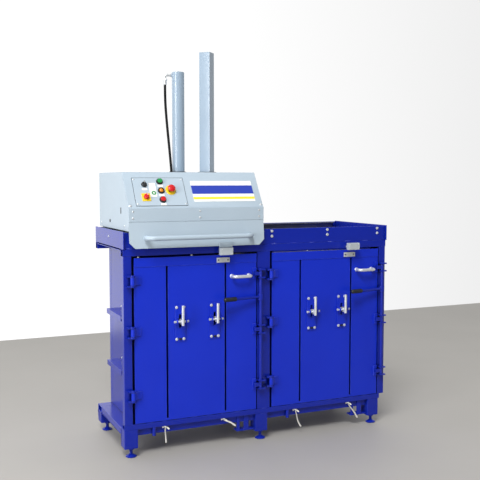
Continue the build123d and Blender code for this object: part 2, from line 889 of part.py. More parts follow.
def make_lock_grip(x):
    """Plastic grip on the end of the lever."""
    _, start, end = lever_points(x)
    return rod(start, end, grip_diameter, small_sides)


# Reel trays on the left wall and the head switches on the front beam
def make_fittings():
    wall_x = chambers["left"] - wall_out
    outer_x = -(chassis_half - end_overhang / 2)
    start = chamber_front + sheet + tray_front_gap
    trays = [make_tray(wall_x, outer_x, start, z) for z in tray_heights]
    nodes["reel_trays"] = trays
    switches = []
    for x in chambers.values():
        spot = x + switch_offset
        back = front_y - switch_box_out
        top = rim_z - switch_box_drop
        low = top - switch_box_height
        half, half_spacer = switch_box_width / 2, switch_spacer_width / 2
        box = block((spot - half, spot + half), (back - switch_box_depth, back), (low, top))
        foot_z = beam_z + sheet / 2
        spacer = block(
            (spot - half_spacer, spot + half_spacer), (back, front_y), (foot_z, foot_z + switch_spacer_height)
        )
        switches += [box, spacer]
    nodes["head_switches"] = switches


def make_tray(wall_x, outer_x, start, z):
    """Shelf with a turned-down lip, a rounded flange up the wall and a slanting strut below."""
    end = start + tray_length
    shelf = block((outer_x, wall_x), (start, end), (z - tray_sheet, z))
    lip = block((outer_x, outer_x + tray_sheet), (start, end), (z - tray_lip, z))
    rise = tray_flange - tray_sheet
    middle = start + tray_length / 2
    turns = [pi * step / arch_steps for step in range(arch_steps + 1)]
    arch = [(middle + tray_length / 2 * cos(turn), z + rise * sin(turn)) for turn in turns]
    arch += [(start, z - tray_sheet), (end, z - tray_sheet)]
    flange = prism("YZ", arch, wall_x - tray_sheet, wall_x)
    strut_y = (middle - strut_bar / 2, middle + strut_bar / 2)
    outline = [
        (outer_x + tray_sheet, z - tray_sheet), (outer_x + tray_sheet + strut_bar, z - tray_sheet),
        (wall_x, z - strut_drop + strut_bar), (wall_x, z - strut_drop),
    ]
    return fused(shelf, lip, flange, prism("XZ", outline, *strut_y))


# Press head: carriage, cover, apron and push handle
def make_head():
    half = head_width / 2
    inner = half - cover_sheet
    nodes["head_carriage"] = make_carriage(inner)
    nodes["head_cover"] = [make_cover(half, inner)]
    apron = make_apron()
    nodes["front_apron"] = [apron]
    nodes["apron_handle"] = [make_push_bar() - apron]


def make_carriage(inner):
    """Welded tubes under the cover, hangers for the axles and two plates that carry the cylinder."""
    tube_z = (head_z, head_z + carriage_tube)
    front = (cover_front + cover_sheet, cover_front + cover_sheet + carriage_tube)
    rear = (cover_rear - cover_sheet - carriage_tube, cover_rear - cover_sheet)
    width = (head_x - inner, head_x + inner)
    solids = [square_tube(width, span, tube_z, sheet, "X") for span in (front, rear)]
    sides = ((width[0], width[0] + carriage_tube), (width[1] - carriage_tube, width[1]))
    for span in sides:
        solids.append(square_tube(span, (front[1], rear[0]), tube_z, sheet, "Y"))
    half_gap = beam_plate_gap / 2
    plate_x = (sides[0][1], sides[1][0])
    for start in (cylinder_y - half_gap - beam_plate, cylinder_y + half_gap):
        solids.append(block(plate_x, (start, start + beam_plate), (head_z, beam_plate_top)))
    for x in wheel_centres():
        for face, turn in ((front_y, 1), (rear_y, -1)):
            solids.append(make_hanger(x, face, turn))
    return solids


def wheel_centres():
    """X of the two wheel axles."""
    return head_x - wheel_spread / 2, head_x + wheel_spread / 2


def make_hanger(x, face, turn):
    """Plate below the carriage with the bore of a wheel axle."""
    near = wheel_set + wheel_width / 2 + hanger_gap
    span = across(face, turn, near, near + hanger_thick)
    plate = block((x - hanger_width / 2, x + hanger_width / 2), span, (head_z - hanger_drop, head_z))
    return plate - bore((x, span[0], wheel_z), (x, span[1], wheel_z), wheel_axle + 2 * running_gap)


def make_cover(half, inner):
    """Folded cover: front strip, slope, roof, rear and sides, open below."""
    corner = tan(atan2(slope_run, slope_rise) / 2) * cover_sheet
    roof_corner = tan((pi / 2 - atan2(slope_run, slope_rise)) / 2) * cover_sheet
    outside = [
        (cover_front, head_z), (cover_front, slope_z), (cover_front + slope_run, roof_z),
        (cover_rear, roof_z), (cover_rear, head_z),
    ]
    inside = [
        (cover_front + cover_sheet, head_z), (cover_front + cover_sheet, slope_z - corner),
        (cover_front + slope_run + roof_corner, roof_z - cover_sheet),
        (cover_rear - cover_sheet, roof_z - cover_sheet), (cover_rear - cover_sheet, head_z),
    ]
    cover = prism("YZ", outside, head_x - half, head_x + half)
    cover -= prism("YZ", inside, head_x - inner, head_x + inner)
    hole_z = (roof_z - cover_sheet, roof_z)
    barrel_hole = barrel_diameter + 2 * roof_gap
    cover -= bore((head_x, cylinder_y, hole_z[0]), (head_x, cylinder_y, hole_z[1]), barrel_hole)
    hose_spot = hose_route[-2][:2]
    cover -= bore((*hose_spot, hole_z[0]), (*hose_spot, hole_z[1]), hose_diameter + 4 * roof_gap)
    guide_hole = guide_tube_side + 2 * roof_gap
    guide_spot = Pos(head_x + guide_offset, cylinder_y, roof_z) * Rot(0, 0, 45)
    cover -= guide_spot * Box(guide_hole, guide_hole, 4 * cover_sheet)
    low, high = panel_low + panel_lap, panel_high - panel_lap
    cover -= slope_box(panel_offset, panel_width - 2 * panel_lap, low, high, -2 * cover_sheet, cover_sheet)
    slot_y = cover_front + side_slot_set
    slot_z = head_z + side_slot_rise
    cover -= block(
        (head_x - half, head_x - inner), (slot_y - side_slot_width / 2, slot_y + side_slot_width / 2),
        (slot_z - side_slot_height / 2, slot_z + side_slot_height / 2),
    )
    return cover


def along_slope(rise):
    """Distance up the slope for a height above its lower edge."""
    return rise * slope_length / slope_rise


def slope_box(offset, width, low, high, deep, proud):
    """Box on the slope: width across, between two heights, from deep to proud of its face."""
    start, end = along_slope(low), along_slope(high)
    middle = slope_plane * Pos(offset, (start + end) / 2, (deep + proud) / 2)
    return middle * Box(width, end - start, proud - deep)


def make_apron():
    """Plate bolted on the cover's front, folded outwards, with clipped lower corners and a switch tab."""
    out = cover_front - apron_sheet
    profile = [
        (cover_front, slope_z), (out, slope_z), (out, apron_fold_z), (out - apron_lean, apron_foot_z),
        (cover_front - apron_lean, apron_foot_z), (cover_front, apron_fold_z),
    ]
    half = apron_width / 2
    apron = prism("YZ", profile, head_x - half, head_x + half)
    for turn in (-1, 1):
        corner = head_x + turn * half
        clip = [
            (corner, apron_foot_z), (corner - turn * apron_clip, apron_foot_z),
            (corner, apron_foot_z + apron_clip),
        ]
        apron -= prism("XZ", clip, out - apron_lean, cover_front)
    spot = head_x + switch_offset
    span = (spot - switch_box_width / 2, spot + switch_box_width / 2)
    tab_y = (out - apron_lean - tab_thick, out - apron_lean + apron_sheet / 2)
    return apron + block(span, tab_y, (apron_foot_z - tab_drop, apron_foot_z + tab_rise))


def make_push_bar():
    """Bent tube handle whose two ends meet the apron."""
    face = cover_front - apron_sheet / 2
    out = cover_front - apron_sheet - push_bar_lean - push_bar_standoff
    ends = (head_x - push_bar_length / 2 + push_bar / 2, head_x + push_bar_length / 2 - push_bar / 2)
    path = FilletPolyline(
        (ends[0], face, push_bar_z), (ends[0], out, push_bar_z), (ends[1], out, push_bar_z),
        (ends[1], face, push_bar_z), radius=push_bar_bend,
    )
    bar = bent_bar(path, (0, 0, 1), push_bar, small_sides)
    behind = [
        (cover_front, slope_z), (cover_front - apron_sheet, slope_z),
        (cover_front - apron_sheet, apron_fold_z),
        (cover_front - apron_sheet - apron_lean, apron_foot_z), (cover_front, apron_foot_z),
    ]
    return bar - prism("YZ", behind, head_x - apron_width, head_x + apron_width)


# Control panel with its enclosure, knobs, buttons and lamp
def make_controls():
    span = (panel_offset, panel_width, panel_low, panel_high)
    panel = slope_box(*span, 0, panel_proud)
    stems = {
        "selector_knob": selector_place, "main_switch_knob": main_switch_place, "start_button": start_place,
        "stop_button": stop_place, "emergency_stop": emergency_place, "lamp": lamp_place,
    }
    for place in stems.values():
        panel -= stem_hole(place, 0, panel_proud)
    plate = at_slope(main_switch_place) * Pos(0, 0, panel_proud + main_plate_height / 2) * Box(
        main_plate, main_plate, main_plate_height
    )
    plate -= stem_hole(main_switch_place, panel_proud, main_plate_height)
    collar = on_slope(emergency_place, panel_proud, emergency_collar, emergency_collar_height, wide_sides)
    collar -= stem_hole(emergency_place, panel_proud, emergency_collar_height)
    bezels = [make_bezel(start_place), make_bezel(stop_place)]
    nodes["control_panel"] = [panel]
    nodes["panel_fittings"] = [plate, collar, *bezels, make_lamp()]
    nodes["control_enclosure"] = make_enclosure(stems.values())
    nodes["selector_knob"] = [make_knob(selector_place, panel_proud)]
    nodes["main_switch_knob"] = [make_knob(main_switch_place, panel_proud + main_plate_height)]
    for name in ("start_button", "stop_button"):
        nodes[name] = [make_button(stems[name])]
    nodes["emergency_stop"] = [make_emergency()]


def at_slope(place):
    """Frame on the slope's face, at an offset from the panel's middle and a height up the slope."""
    offset, rise = place
    return slope_plane * Pos(panel_offset + offset, along_slope(rise), 0)


def on_slope(place, start, diameter, length, sides=0):
    """Bar square to the slope, beginning at start above its face."""
    return at_slope(place) * Pos(0, 0, start) * upright(diameter, length, sides)


def stem_hole(place, start, length):
    """Few-sided hole for the stem of a control."""
    return on_slope(place, start, (control_stem + 2 * stem_gap) / cos(pi / bore_sides), length, bore_sides)


def make_bezel(place):
    """Ring round a push button."""
    outer = button_diameter + 2 * bezel_width
    ring = on_slope(place, panel_proud, outer, bezel_height, wide_sides)
    return ring - on_slope(place, panel_proud, button_diameter + 2 * stem_gap, bezel_height, wide_sides)


def make_lamp():
    """Indicator lamp with a domed lens and its stem through the panel."""
    lens = on_slope(lamp_place, panel_proud, lamp_diameter, lamp_height, wide_sides)
    return lens + on_slope(lamp_place, -stem_depth, control_stem, stem_depth + panel_proud, small_sides)


def make_knob(place, base):
    """Turning knob with a raised grip bar across it."""
    body = on_slope(place, base + stem_gap, knob_diameter, knob_height - knob_wing_height, wide_sides)
    wing_low = base + stem_gap + knob_height - knob_wing_height
    wing = at_slope(place) * Pos(0, 0, wing_low + knob_wing_height / 2) * Box(
        knob_wing, knob_diameter * cos(radians(45 / 2)), knob_wing_height
    )
    return fused(body, wing, on_slope(place, -stem_depth, control_stem, stem_depth + base + stem_gap))


def make_button(place):
    """Push button with its stem, standing proud by more than its travel."""
    low = panel_proud + stem_gap + button_travel
    cap = on_slope(place, low, button_diameter, button_height, wide_sides)
    return cap + on_slope(place, -stem_depth, control_stem, stem_depth + low, small_sides)


def make_emergency():
    """Mushroom head on a stem, high enough above its collar for the travel."""
    low = panel_proud + emergency_collar_height + emergency_travel + emergency_gap
    cap = on_slope(emergency_place, low, emergency_diameter, emergency_cap, wide_sides)
    return cap + on_slope(emergency_place, -stem_depth, control_stem, stem_depth + low, small_sides)


def make_enclosure(places):
    """Switch box behind the panel, and the contact block of each control in it."""
    width = panel_width - 2 * enclosure_inset
    low, high = panel_low + enclosure_inset, panel_high - enclosure_inset
    deep = -enclosure_depth
    wall = enclosure_wall
    box = slope_box(panel_offset, width, low, high, deep, 0)
    box -= slope_box(panel_offset, width - 2 * wall, low + wall, high - wall, deep + wall, 0)
    top = -stem_depth - contact_gap
    foot = top - contact_depth
    blocks = []
    for place in places:
        contact = at_slope(place) * Pos(0, 0, (top + foot) / 2)
        contact = contact * Box(contact_width, contact_width, contact_depth)
        post = at_slope(place) * Pos(0, 0, (deep + wall + foot) / 2)
        blocks.append(contact + post * Box(contact_post, contact_post, foot - deep - wall))
    return [box, *blocks]


# Cylinder with its fittings and hose, guide, press plate and hydraulic unit
def make_press():
    centre = (head_x, cylinder_y)
    nodes["cylinder_barrel"] = [make_barrel(centre)]
    nodes["piston_rod"] = [make_piston(centre)]
    nodes["hose_fittings"] = make_hose_fittings(centre)
    nodes["hydraulic_hose"] = [make_hose()]
    spot = (head_x + guide_offset, cylinder_y)
    hole = guide_tube_side + 2 * guide_tube_gap
    lie = Pos(*spot, beam_plate_top + guide_block_height / 2)
    whole = Box(guide_block, guide_block, guide_block_height)
    nodes["guide_block"] = [lie * (whole - Rot(0, 0, 45) * Box(hole, hole, guide_block_height))]
    length = guide_tube_top - press_top
    inside = guide_tube_side - 2 * guide_tube_wall
    tube = Box(guide_tube_side, guide_tube_side, length) - Box(inside, inside, length)
    nodes["guide_tube"] = [Pos(*spot, press_top + length / 2) * Rot(0, 0, 45) * tube]
    nodes["press_plate"] = [make_press_plate()]
    nodes["hydraulic_tank"], nodes["pump_motor"] = make_hydraulic_unit()


def make_barrel(centre):
    """Barrel with closed top, gland at its foot, mounting flange and a port boss for the hose."""
    foot = press_top + barrel_foot_gap
    x, y = centre
    barrel = rod((*centre, foot), (*centre, cylinder_top), barrel_diameter)
    half = barrel_flange / 2
    barrel += block((x - half, x + half), (y - half, y + half), (beam_plate_top, flange_top))
    port_z = cylinder_top - port_drop
    half_boss = port_boss / 2
    boss_z = (port_z - half_boss, port_z + half_boss)
    barrel += block((x - port_reach, x), (y - half_boss, y + half_boss), boss_z)
    gland_top = foot + gland_length
    barrel -= rod((*centre, gland_top), (*centre, cylinder_top - barrel_cap), barrel_bore, wide_sides)
    return barrel - rod((*centre, foot), (*centre, gland_top), rod_diameter + 2 * rod_gap, wide_sides)


def make_piston(centre):
    """Piston rod from the press plate up into the barrel, with its piston."""
    top = cylinder_top - barrel_cap - rod_top_gap
    bar = rod((*centre, press_top), (*centre, top), rod_diameter, wide_sides)
    return bar + rod((*centre, top - piston_height), (*centre, top), barrel_bore - 2 * rod_gap, wide_sides)


def make_hose_fittings(centre):
    """Elbow and ferrule at the barrel's port, and the valve block with its nipple inside the head."""
    x, y = centre
    port_z = cylinder_top - port_drop
    top = hose_route[0]
    bottom = hose_route[-1]
    path = FilletPolyline(
        (x - port_reach, y, port_z), (top[0], y, port_z), (top[0], y, top[2] + ferrule_length),
        radius=fitting_bend,
    )
    elbow = bent_bar(path, (0, 1, 0), fitting_bore, small_sides)
    ferrule = rod(top, (top[0], top[1], top[2] + ferrule_length), ferrule_diameter, small_sides)
    right = x - barrel_diameter / 2 - valve_gap
    valve_top = flange_top + valve_rise
    valve_y = (y - valve_depth / 2, y + valve_depth / 2)
    valve = block((right - valve_width, right), valve_y, (flange_top, valve_top))
    nipple = rod((bottom[0], bottom[1], valve_top), bottom, ferrule_diameter, small_sides)
    return [elbow + ferrule, valve + nipple]


def make_hose():
    """Hydraulic hose as a plain bar of few sides along its route."""
    path, radii = rounded_path(hose_route)
    print("hose radii", [round(radius) for radius in radii])
    section = RegularPolygon(hose_diameter / 2, hose_sides)
    return loft(along(path, hose_steps, (1, 0, 0), section), ruled=True)


def make_press_plate():
    """Pressing plate with an upturned rim, a beam across and strap grooves below."""
    half_w, half_d = press_plate_width / 2, press_plate_depth / 2
    x, y = (head_x - half_w, head_x + half_w), (cylinder_y - half_d, cylinder_y + half_d)
    rim_z_top = press_top - press_rim_drop
    plate = block(x, y, (press_foot, rim_z_top))
    inner_x, inner_y = (x[0] + press_rim, x[1] - press_rim), (y[0] + press_rim, y[1] - press_rim)
    plate -= block(inner_x, inner_y, (press_foot + press_skin, rim_z_top))
    half_beam = press_beam / 2
    beam_y = (cylinder_y - half_beam, cylinder_y + half_beam)
    plate += square_tube(inner_x, beam_y, (press_foot + press_skin, press_top), press_rim, "X")
    for spot in (head_x - strap_offset, head_x + strap_offset):
        groove = (spot - press_groove / 2, spot + press_groove / 2)
        plate -= block(groove, y, (press_foot, press_foot + press_groove_depth))
    return plate


def make_hydraulic_unit():
    """Oil tank on the left and rear carriage tubes, and the pump motor on the rear one."""
    floor = head_z + carriage_tube
    left = head_x - head_width / 2 + cover_sheet + tank_side_gap
    rear = cover_rear - cover_sheet - tank_rear_gap
    tank = block((left, left + tank_width), (rear - tank_depth, rear), (floor, floor + tank_height))
    x = head_x + motor_offset
    y = rear - motor_foot_depth / 2
    axis_z = floor + motor_foot + motor_diameter / 2
    foot = block(
        (x - motor_length / 4, x + motor_length / 4), (rear - motor_foot_depth, rear),
        (floor, floor + motor_foot + motor_foot),
    )
    ends = ((x - motor_length / 2, y, axis_z), (x + motor_length / 2, y, axis_z))
    motor = rod(*ends, motor_diameter, wide_sides)
    return [tank], [foot + motor]


# Wheelsets of the head
def make_wheelsets():
    for side, x in zip(("left", "right"), wheel_centres()):
        inner = (wheel_rows[0] + wheel_width / 2, wheel_rows[1] - wheel_width / 2)
        solids = [rod((x, inner[0], wheel_z), (x, inner[1], wheel_z), wheel_axle)]
        for start in (inner[0] - wheel_width, inner[1]):
            end = (x, start + wheel_width, wheel_z)
            solids.append(rod((x, start, wheel_z), end, wheel_diameter, wheel_sides))
        nodes[f"{side}_wheelset"] = solids


# Strap tails: a knot under the sill and a flat band that hangs from it
def make_straps():
    y = front_y + strap_set
    for name, points in strap_routes.items():
        path, radii = rounded_path([(x, y, z) for x, z in points])
        print(name, "radii", [round(radius) for radius in radii])
        first = points[0]
        band = loft(along(path, strap_steps, (0, 1, 0), Rectangle(strap_width, strap_thick)), ruled=True)
        half = strap_knot / 2
        knot_x = (first[0] - half, first[0] + half)
        knot = block(knot_x, (y - half, y + half), (first[1] - strap_thick, sill_z))
        nodes[name] = [band + knot]


make_base()
make_frame()
make_chambers()
make_doors()
make_locks()
make_fittings()
make_head()
make_controls()
make_press()
make_wheelsets()
make_straps()

os.makedirs("parts", exist_ok=True)
for name, solids in nodes.items():
    pieces = [piece for solid in solids for piece in solid.solids()]
    export_step(Compound(pieces) if len(pieces) > 1 else pieces[0], f"parts/{name}.step")
print(len(nodes), "nodes")
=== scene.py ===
import bpy
import math
import numpy as np
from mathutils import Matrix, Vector


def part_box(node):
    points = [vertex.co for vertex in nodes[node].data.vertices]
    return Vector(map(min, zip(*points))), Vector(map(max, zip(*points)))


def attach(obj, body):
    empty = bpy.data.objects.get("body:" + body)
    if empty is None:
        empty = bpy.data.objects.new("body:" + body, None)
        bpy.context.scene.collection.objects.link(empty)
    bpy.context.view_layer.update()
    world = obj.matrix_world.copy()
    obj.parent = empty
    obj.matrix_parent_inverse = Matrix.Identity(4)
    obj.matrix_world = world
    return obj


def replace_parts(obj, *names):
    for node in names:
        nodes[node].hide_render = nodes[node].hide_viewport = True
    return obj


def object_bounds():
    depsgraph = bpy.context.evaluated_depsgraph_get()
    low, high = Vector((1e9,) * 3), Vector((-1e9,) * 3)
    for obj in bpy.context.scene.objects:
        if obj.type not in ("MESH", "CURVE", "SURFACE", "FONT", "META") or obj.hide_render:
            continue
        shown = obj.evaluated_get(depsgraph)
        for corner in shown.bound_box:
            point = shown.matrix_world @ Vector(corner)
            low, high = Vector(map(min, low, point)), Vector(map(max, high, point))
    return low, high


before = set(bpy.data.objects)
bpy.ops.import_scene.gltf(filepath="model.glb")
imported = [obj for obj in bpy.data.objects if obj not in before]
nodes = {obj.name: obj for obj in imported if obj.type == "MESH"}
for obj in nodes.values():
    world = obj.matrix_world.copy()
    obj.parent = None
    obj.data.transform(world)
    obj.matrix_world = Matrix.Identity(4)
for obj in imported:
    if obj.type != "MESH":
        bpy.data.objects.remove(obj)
cadLow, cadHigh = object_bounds()
mm = 0.001
print("stage: frame loaded,", len(nodes), "nodes")

# settings of the camera and the room; both are built at the end
cameraSetup = {
    "place": (-1.8665, -4.12245, 1.4425),  # metres, in the part's frame
    "pitch": -4.27,  # degrees, below the horizon
    "yaw": 23.9,  # degrees, towards +X
    "lens": 58.98, "film": 36.0,  # mm
    "sight": 200.0,  # metres, the farthest that it draws
}
roomSetup = {
    "floorColours": ("#A09D98", "#AAA7A2"),
    "airColour": "#FFFFFF",
    "airWay": (-0.5, 0.86, 0.0),  # brightest heading
    "airMost": 1.25, "airLeast": 0.12,  # strength there and opposite
    "floorSpan": ((-14.0, 14.0), (-14.0, 3.2)),  # metres, X and Y; it ends behind the press
    "lamps": {  # watts, metres wide and high, place
        "key": (430.0, (2.4, 2.4), (-2.9, -4.4, 6.4)),
        "leftStrip": (130.0, (1.2, 3.0), (-4.6, -2.6, 1.9)),
        "rightStrip": (22.0, (0.5, 2.6), (5.0, -1.6, 1.9)),
    },
}


def linearColour(code):
    # sRGB hex to linear light
    parts = np.array([int(code[i:i + 2], 16) / 255 for i in (1, 3, 5)])
    light = np.where(parts <= 0.04045, parts / 12.92, ((parts + 0.055) / 1.055) ** 2.4)
    return (*light.tolist(), 1.0)


def addNode(tree, kind, values=None, links=None, **settings):
    # one node: settings are its own choices, values its open sockets, links what feeds them
    node = tree.nodes.new(kind)
    for name, value in settings.items():
        setattr(node, name, value)
    for name, value in (values or {}).items():
        node.inputs[name].default_value = value
    for name, source in (links or {}).items():
        tree.links.new(source, node.inputs[name])
    return node


def newMaterial(name):
    # empty node tree with its shader
    material = bpy.data.materials.new(name)
    material.use_nodes = True
    tree = material.node_tree
    tree.nodes.clear()
    shader = addNode(tree, "ShaderNodeBsdfPrincipled")
    addNode(tree, "ShaderNodeOutputMaterial", links={"Surface": shader.outputs["BSDF"]})
    return material, tree, shader


def perMetre(sizeMm):
    # noise scale whose blotches are about that many millimetres wide
    return 1000.0 / sizeMm


# steel with a powder coat, sprayed and baked: glossy skin, faint orange peel, paler scuffs on what is
# handled, edges rubbed pale and given a painted highlight, and painted shade that darkens slots and corners
def powderCoatedSteel(name, colours, roughness, scuffAndHighlightColour, scuffShare, coat, gloss=0.5, paintedShade="#1E2226"):
    material, tree, shader = newMaterial(name)
    spot = addNode(tree, "ShaderNodeTexCoord").outputs["Object"]
    cloud = addNode(tree, "ShaderNodeTexNoise", {"Scale": perMetre(260), "Detail": 3.0}, {"Vector": spot})
    tone = addNode(tree, "ShaderNodeMix", {6: linearColour(colours[0]), 7: linearColour(colours[1])},
                   {0: cloud.outputs["Fac"]}, data_type="RGBA")
    stretch = addNode(tree, "ShaderNodeMapping", {"Scale": (1.0, 1.0, 0.35)}, {"Vector": spot})
    rub = addNode(tree, "ShaderNodeTexNoise", {"Scale": perMetre(34), "Detail": 9.0, "Roughness": 0.72},
                  {"Vector": stretch.outputs["Vector"]})
    scuff = addNode(tree, "ShaderNodeMapRange",
                    {"From Min": 0.74 - scuffShare, "From Max": 0.80 - scuffShare * 0.6, "To Max": 0.55},
                    {"Value": rub.outputs["Fac"]})
    skin = addNode(tree, "ShaderNodeMix", {7: linearColour(scuffAndHighlightColour)},
                   {0: scuff.outputs["Result"], 6: tone.outputs[2]}, data_type="RGBA")
    # edges: rubbed paint, and a painted highlight along them, both in the scuff colour
    soft = addNode(tree, "ShaderNodeBevel", {"Radius": 3.5 * mm}, samples=4)
    hard = addNode(tree, "ShaderNodeNewGeometry")
    bend = addNode(tree, "ShaderNodeVectorMath", None, {0: soft.outputs["Normal"], 1: hard.outputs["Normal"]},
                   operation="DOT_PRODUCT")
    edge = addNode(tree, "ShaderNodeMapRange", {"From Min": 0.99, "From Max": 0.86, "To Max": 1.0},
                   {"Value": bend.outputs["Value"]})
    patch = addNode(tree, "ShaderNodeMapRange", {"From Min": 0.42, "From Max": 0.62, "To Max": 0.7},
                    {"Value": rub.outputs["Fac"]})
    rubbedAndHighlit = addNode(tree, "ShaderNodeMath", None, {0: edge.outputs["Result"], 1: patch.outputs["Result"]},
                     operation="MULTIPLY")
    wornAndHighlit = addNode(tree, "ShaderNodeMix", {7: linearColour(scuffAndHighlightColour)},
                   {0: rubbedAndHighlit.outputs["Value"], 6: skin.outputs[2]}, data_type="RGBA")
    # painted shade: ambient occlusion darkens slots, gaps and corners towards the shade colour
    cornerShadeAo = addNode(tree, "ShaderNodeAmbientOcclusion", {"Distance": 45 * mm}, samples=8)
    cover = addNode(tree, "ShaderNodeMapRange", {"From Min": 0.10, "From Max": 0.62},
                    {"Value": cornerShadeAo.outputs["AO"]})
    shadedSkin = addNode(tree, "ShaderNodeMix", {6: linearColour(paintedShade)},
                     {0: cover.outputs["Result"], 7: wornAndHighlit.outputs[2]}, data_type="RGBA")
    tree.links.new(shadedSkin.outputs[2], shader.inputs["Base Color"])
    dull = addNode(tree, "ShaderNodeMapRange", {"To Min": roughness[0], "To Max": roughness[1]},
                   {"Value": rub.outputs["Fac"]})
    tree.links.new(dull.outputs["Result"], shader.inputs["Roughness"])
    # the real peel is about 2 mm wide and is drawn at 9 mm, or it would not show
    peel = addNode(tree, "ShaderNodeTexNoise", {"Scale": perMetre(9), "Detail": 2.0}, {"Vector": spot})
    relief = addNode(tree, "ShaderNodeBump", {"Strength": 0.025, "Distance": 0.6 * mm},
                     {"Height": peel.outputs["Fac"]})
    tree.links.new(relief.outputs["Normal"], shader.inputs["Normal"])
    shader.inputs["IOR"].default_value = 1.5
    shader.inputs["Specular IOR Level"].default_value = gloss
    shader.inputs["Coat Weight"].default_value = coat
    shader.inputs["Coat Roughness"].default_value = 0.12
    return material


# zinc-plated steel: bright bluish metal with cloudy patches where the plating dulled
def zincPlatedSteel(name, colours, roughness):
    material, tree, shader = newMaterial(name)
    spot = addNode(tree, "ShaderNodeTexCoord").outputs["Object"]
    cloud = addNode(tree, "ShaderNodeTexNoise", {"Scale": perMetre(22), "Detail": 6.0, "Roughness": 0.6},
                    {"Vector": spot})
    tone = addNode(tree, "ShaderNodeMix", {6: linearColour(colours[0]), 7: linearColour(colours[1])},
                   {0: cloud.outputs["Fac"]}, data_type="RGBA")
    tree.links.new(tone.outputs[2], shader.inputs["Base Color"])
    dull = addNode(tree, "ShaderNodeMapRange", {"To Min": roughness[0], "To Max": roughness[1]},
                   {"Value": cloud.outputs["Fac"]})
    tree.links.new(dull.outputs["Result"], shader.inputs["Roughness"])
    grain = addNode(tree, "ShaderNodeTexNoise", {"Scale": perMetre(1.5), "Detail": 2.0}, {"Vector": spot})
    relief = addNode(tree, "ShaderNodeBump", {"Strength": 0.06, "Distance": 0.2 * mm},
                     {"Height": grain.outputs["Fac"]})
    tree.links.new(relief.outputs["Normal"], shader.inputs["Normal"])
    shader.inputs["Metallic"].default_value = 0.5
    return material


# moulded plastic: even colour, fine grain from the mould, soft sheen
def mouldedPlastic(name, colours, roughness, grainMm, coat=0.0):
    material, tree, shader = newMaterial(name)
    spot = addNode(tree, "ShaderNodeTexCoord").outputs["Object"]
    cloud = addNode(tree, "ShaderNodeTexNoise", {"Scale": perMetre(18), "Detail": 4.0}, {"Vector": spot})
    tone = addNode(tree, "ShaderNodeMix", {6: linearColour(colours[0]), 7: linearColour(colours[1])},
                   {0: cloud.outputs["Fac"]}, data_type="RGBA")
    tree.links.new(tone.outputs[2], shader.inputs["Base Color"])
    grain = addNode(tree, "ShaderNodeTexNoise", {"Scale": perMetre(grainMm), "Detail": 3.0}, {"Vector": spot})
    relief = addNode(tree, "ShaderNodeBump", {"Strength": 0.12, "Distance": 0.15 * mm},
                     {"Height": grain.outputs["Fac"]})
    tree.links.new(relief.outputs["Normal"], shader.inputs["Normal"])
    shader.inputs["Roughness"].default_value = roughness
    shader.inputs["IOR"].default_value = 1.46
    shader.inputs["Coat Weight"].default_value = coat
    return material


# rolled steel, worn bright by the wheels along the track
def rolledSteel(name):
    material, tree, shader = newMaterial(name)
    spot = addNode(tree, "ShaderNodeTexCoord").outputs["Object"]
    stretch = addNode(tree, "ShaderNodeMapping", {"Scale": (0.08, 1.0, 1.0)}, {"Vector": spot})
    drag = addNode(tree, "ShaderNodeTexNoise", {"Scale": perMetre(6), "Detail": 6.0},
                   {"Vector": stretch.outputs["Vector"]})
    tone = addNode(tree, "ShaderNodeMix", {6: linearColour("#6F7275"), 7: linearColour("#A9ABAC")},
                   {0: drag.outputs["Fac"]}, data_type="RGBA")
    tree.links.new(tone.outputs[2], shader.inputs["Base Color"])
    dull = addNode(tree, "ShaderNodeMapRange", {"To Min": 0.25, "To Max": 0.5},
                   {"Value": drag.outputs["Fac"]})
    tree.links.new(dull.outputs["Result"], shader.inputs["Roughness"])
    shader.inputs["Metallic"].default_value = 1.0
    return material


# hard-chromed rod, ground round: mirror with faint turned rings
def chromedSteel(name):
    material, tree, shader = newMaterial(name)
    spot = addNode(tree, "ShaderNodeTexCoord").outputs["Object"]
    rings = addNode(tree, "ShaderNodeTexWave", {"Scale": perMetre(8), "Distortion": 0.4}, {"Vector": spot},
                    bands_direction="Z")
    dull = addNode(tree, "ShaderNodeMapRange", {"To Min": 0.06, "To Max": 0.14},
                   {"Value": rings.outputs["Fac"]})
    tree.links.new(dull.outputs["Result"], shader.inputs["Roughness"])
    shader.inputs["Base Color"].default_value = linearColour("#D5D7D9")
    shader.inputs["Metallic"].default_value = 1.0
    return material


# rubber hose cover, extruded over a braid that shows as faint crossed ridges
def extrudedRubber(name):
    material, tree, shader = newMaterial(name)
    spot = addNode(tree, "ShaderNodeTexCoord").outputs["Object"]
    braid = addNode(tree, "ShaderNodeTexWave", {"Scale": perMetre(24), "Distortion": 1.2, "Detail": 2.0},
                    {"Vector": spot}, bands_direction="DIAGONAL")
    dust = addNode(tree, "ShaderNodeTexNoise", {"Scale": perMetre(30), "Detail": 5.0}, {"Vector": spot})
    tone = addNode(tree, "ShaderNodeMix", {6: linearColour("#08090A"), 7: linearColour("#141517")},
                   {0: dust.outputs["Fac"]}, data_type="RGBA")
    tree.links.new(tone.outputs[2], shader.inputs["Base Color"])
    relief = addNode(tree, "ShaderNodeBump", {"Strength": 0.2, "Distance": 0.3 * mm},
                     {"Height": braid.outputs["Fac"]})
    tree.links.new(relief.outputs["Normal"], shader.inputs["Normal"])
    shader.inputs["Roughness"].default_value = 0.7
    shader.inputs["Specular IOR Level"].default_value = 0.2
    return material


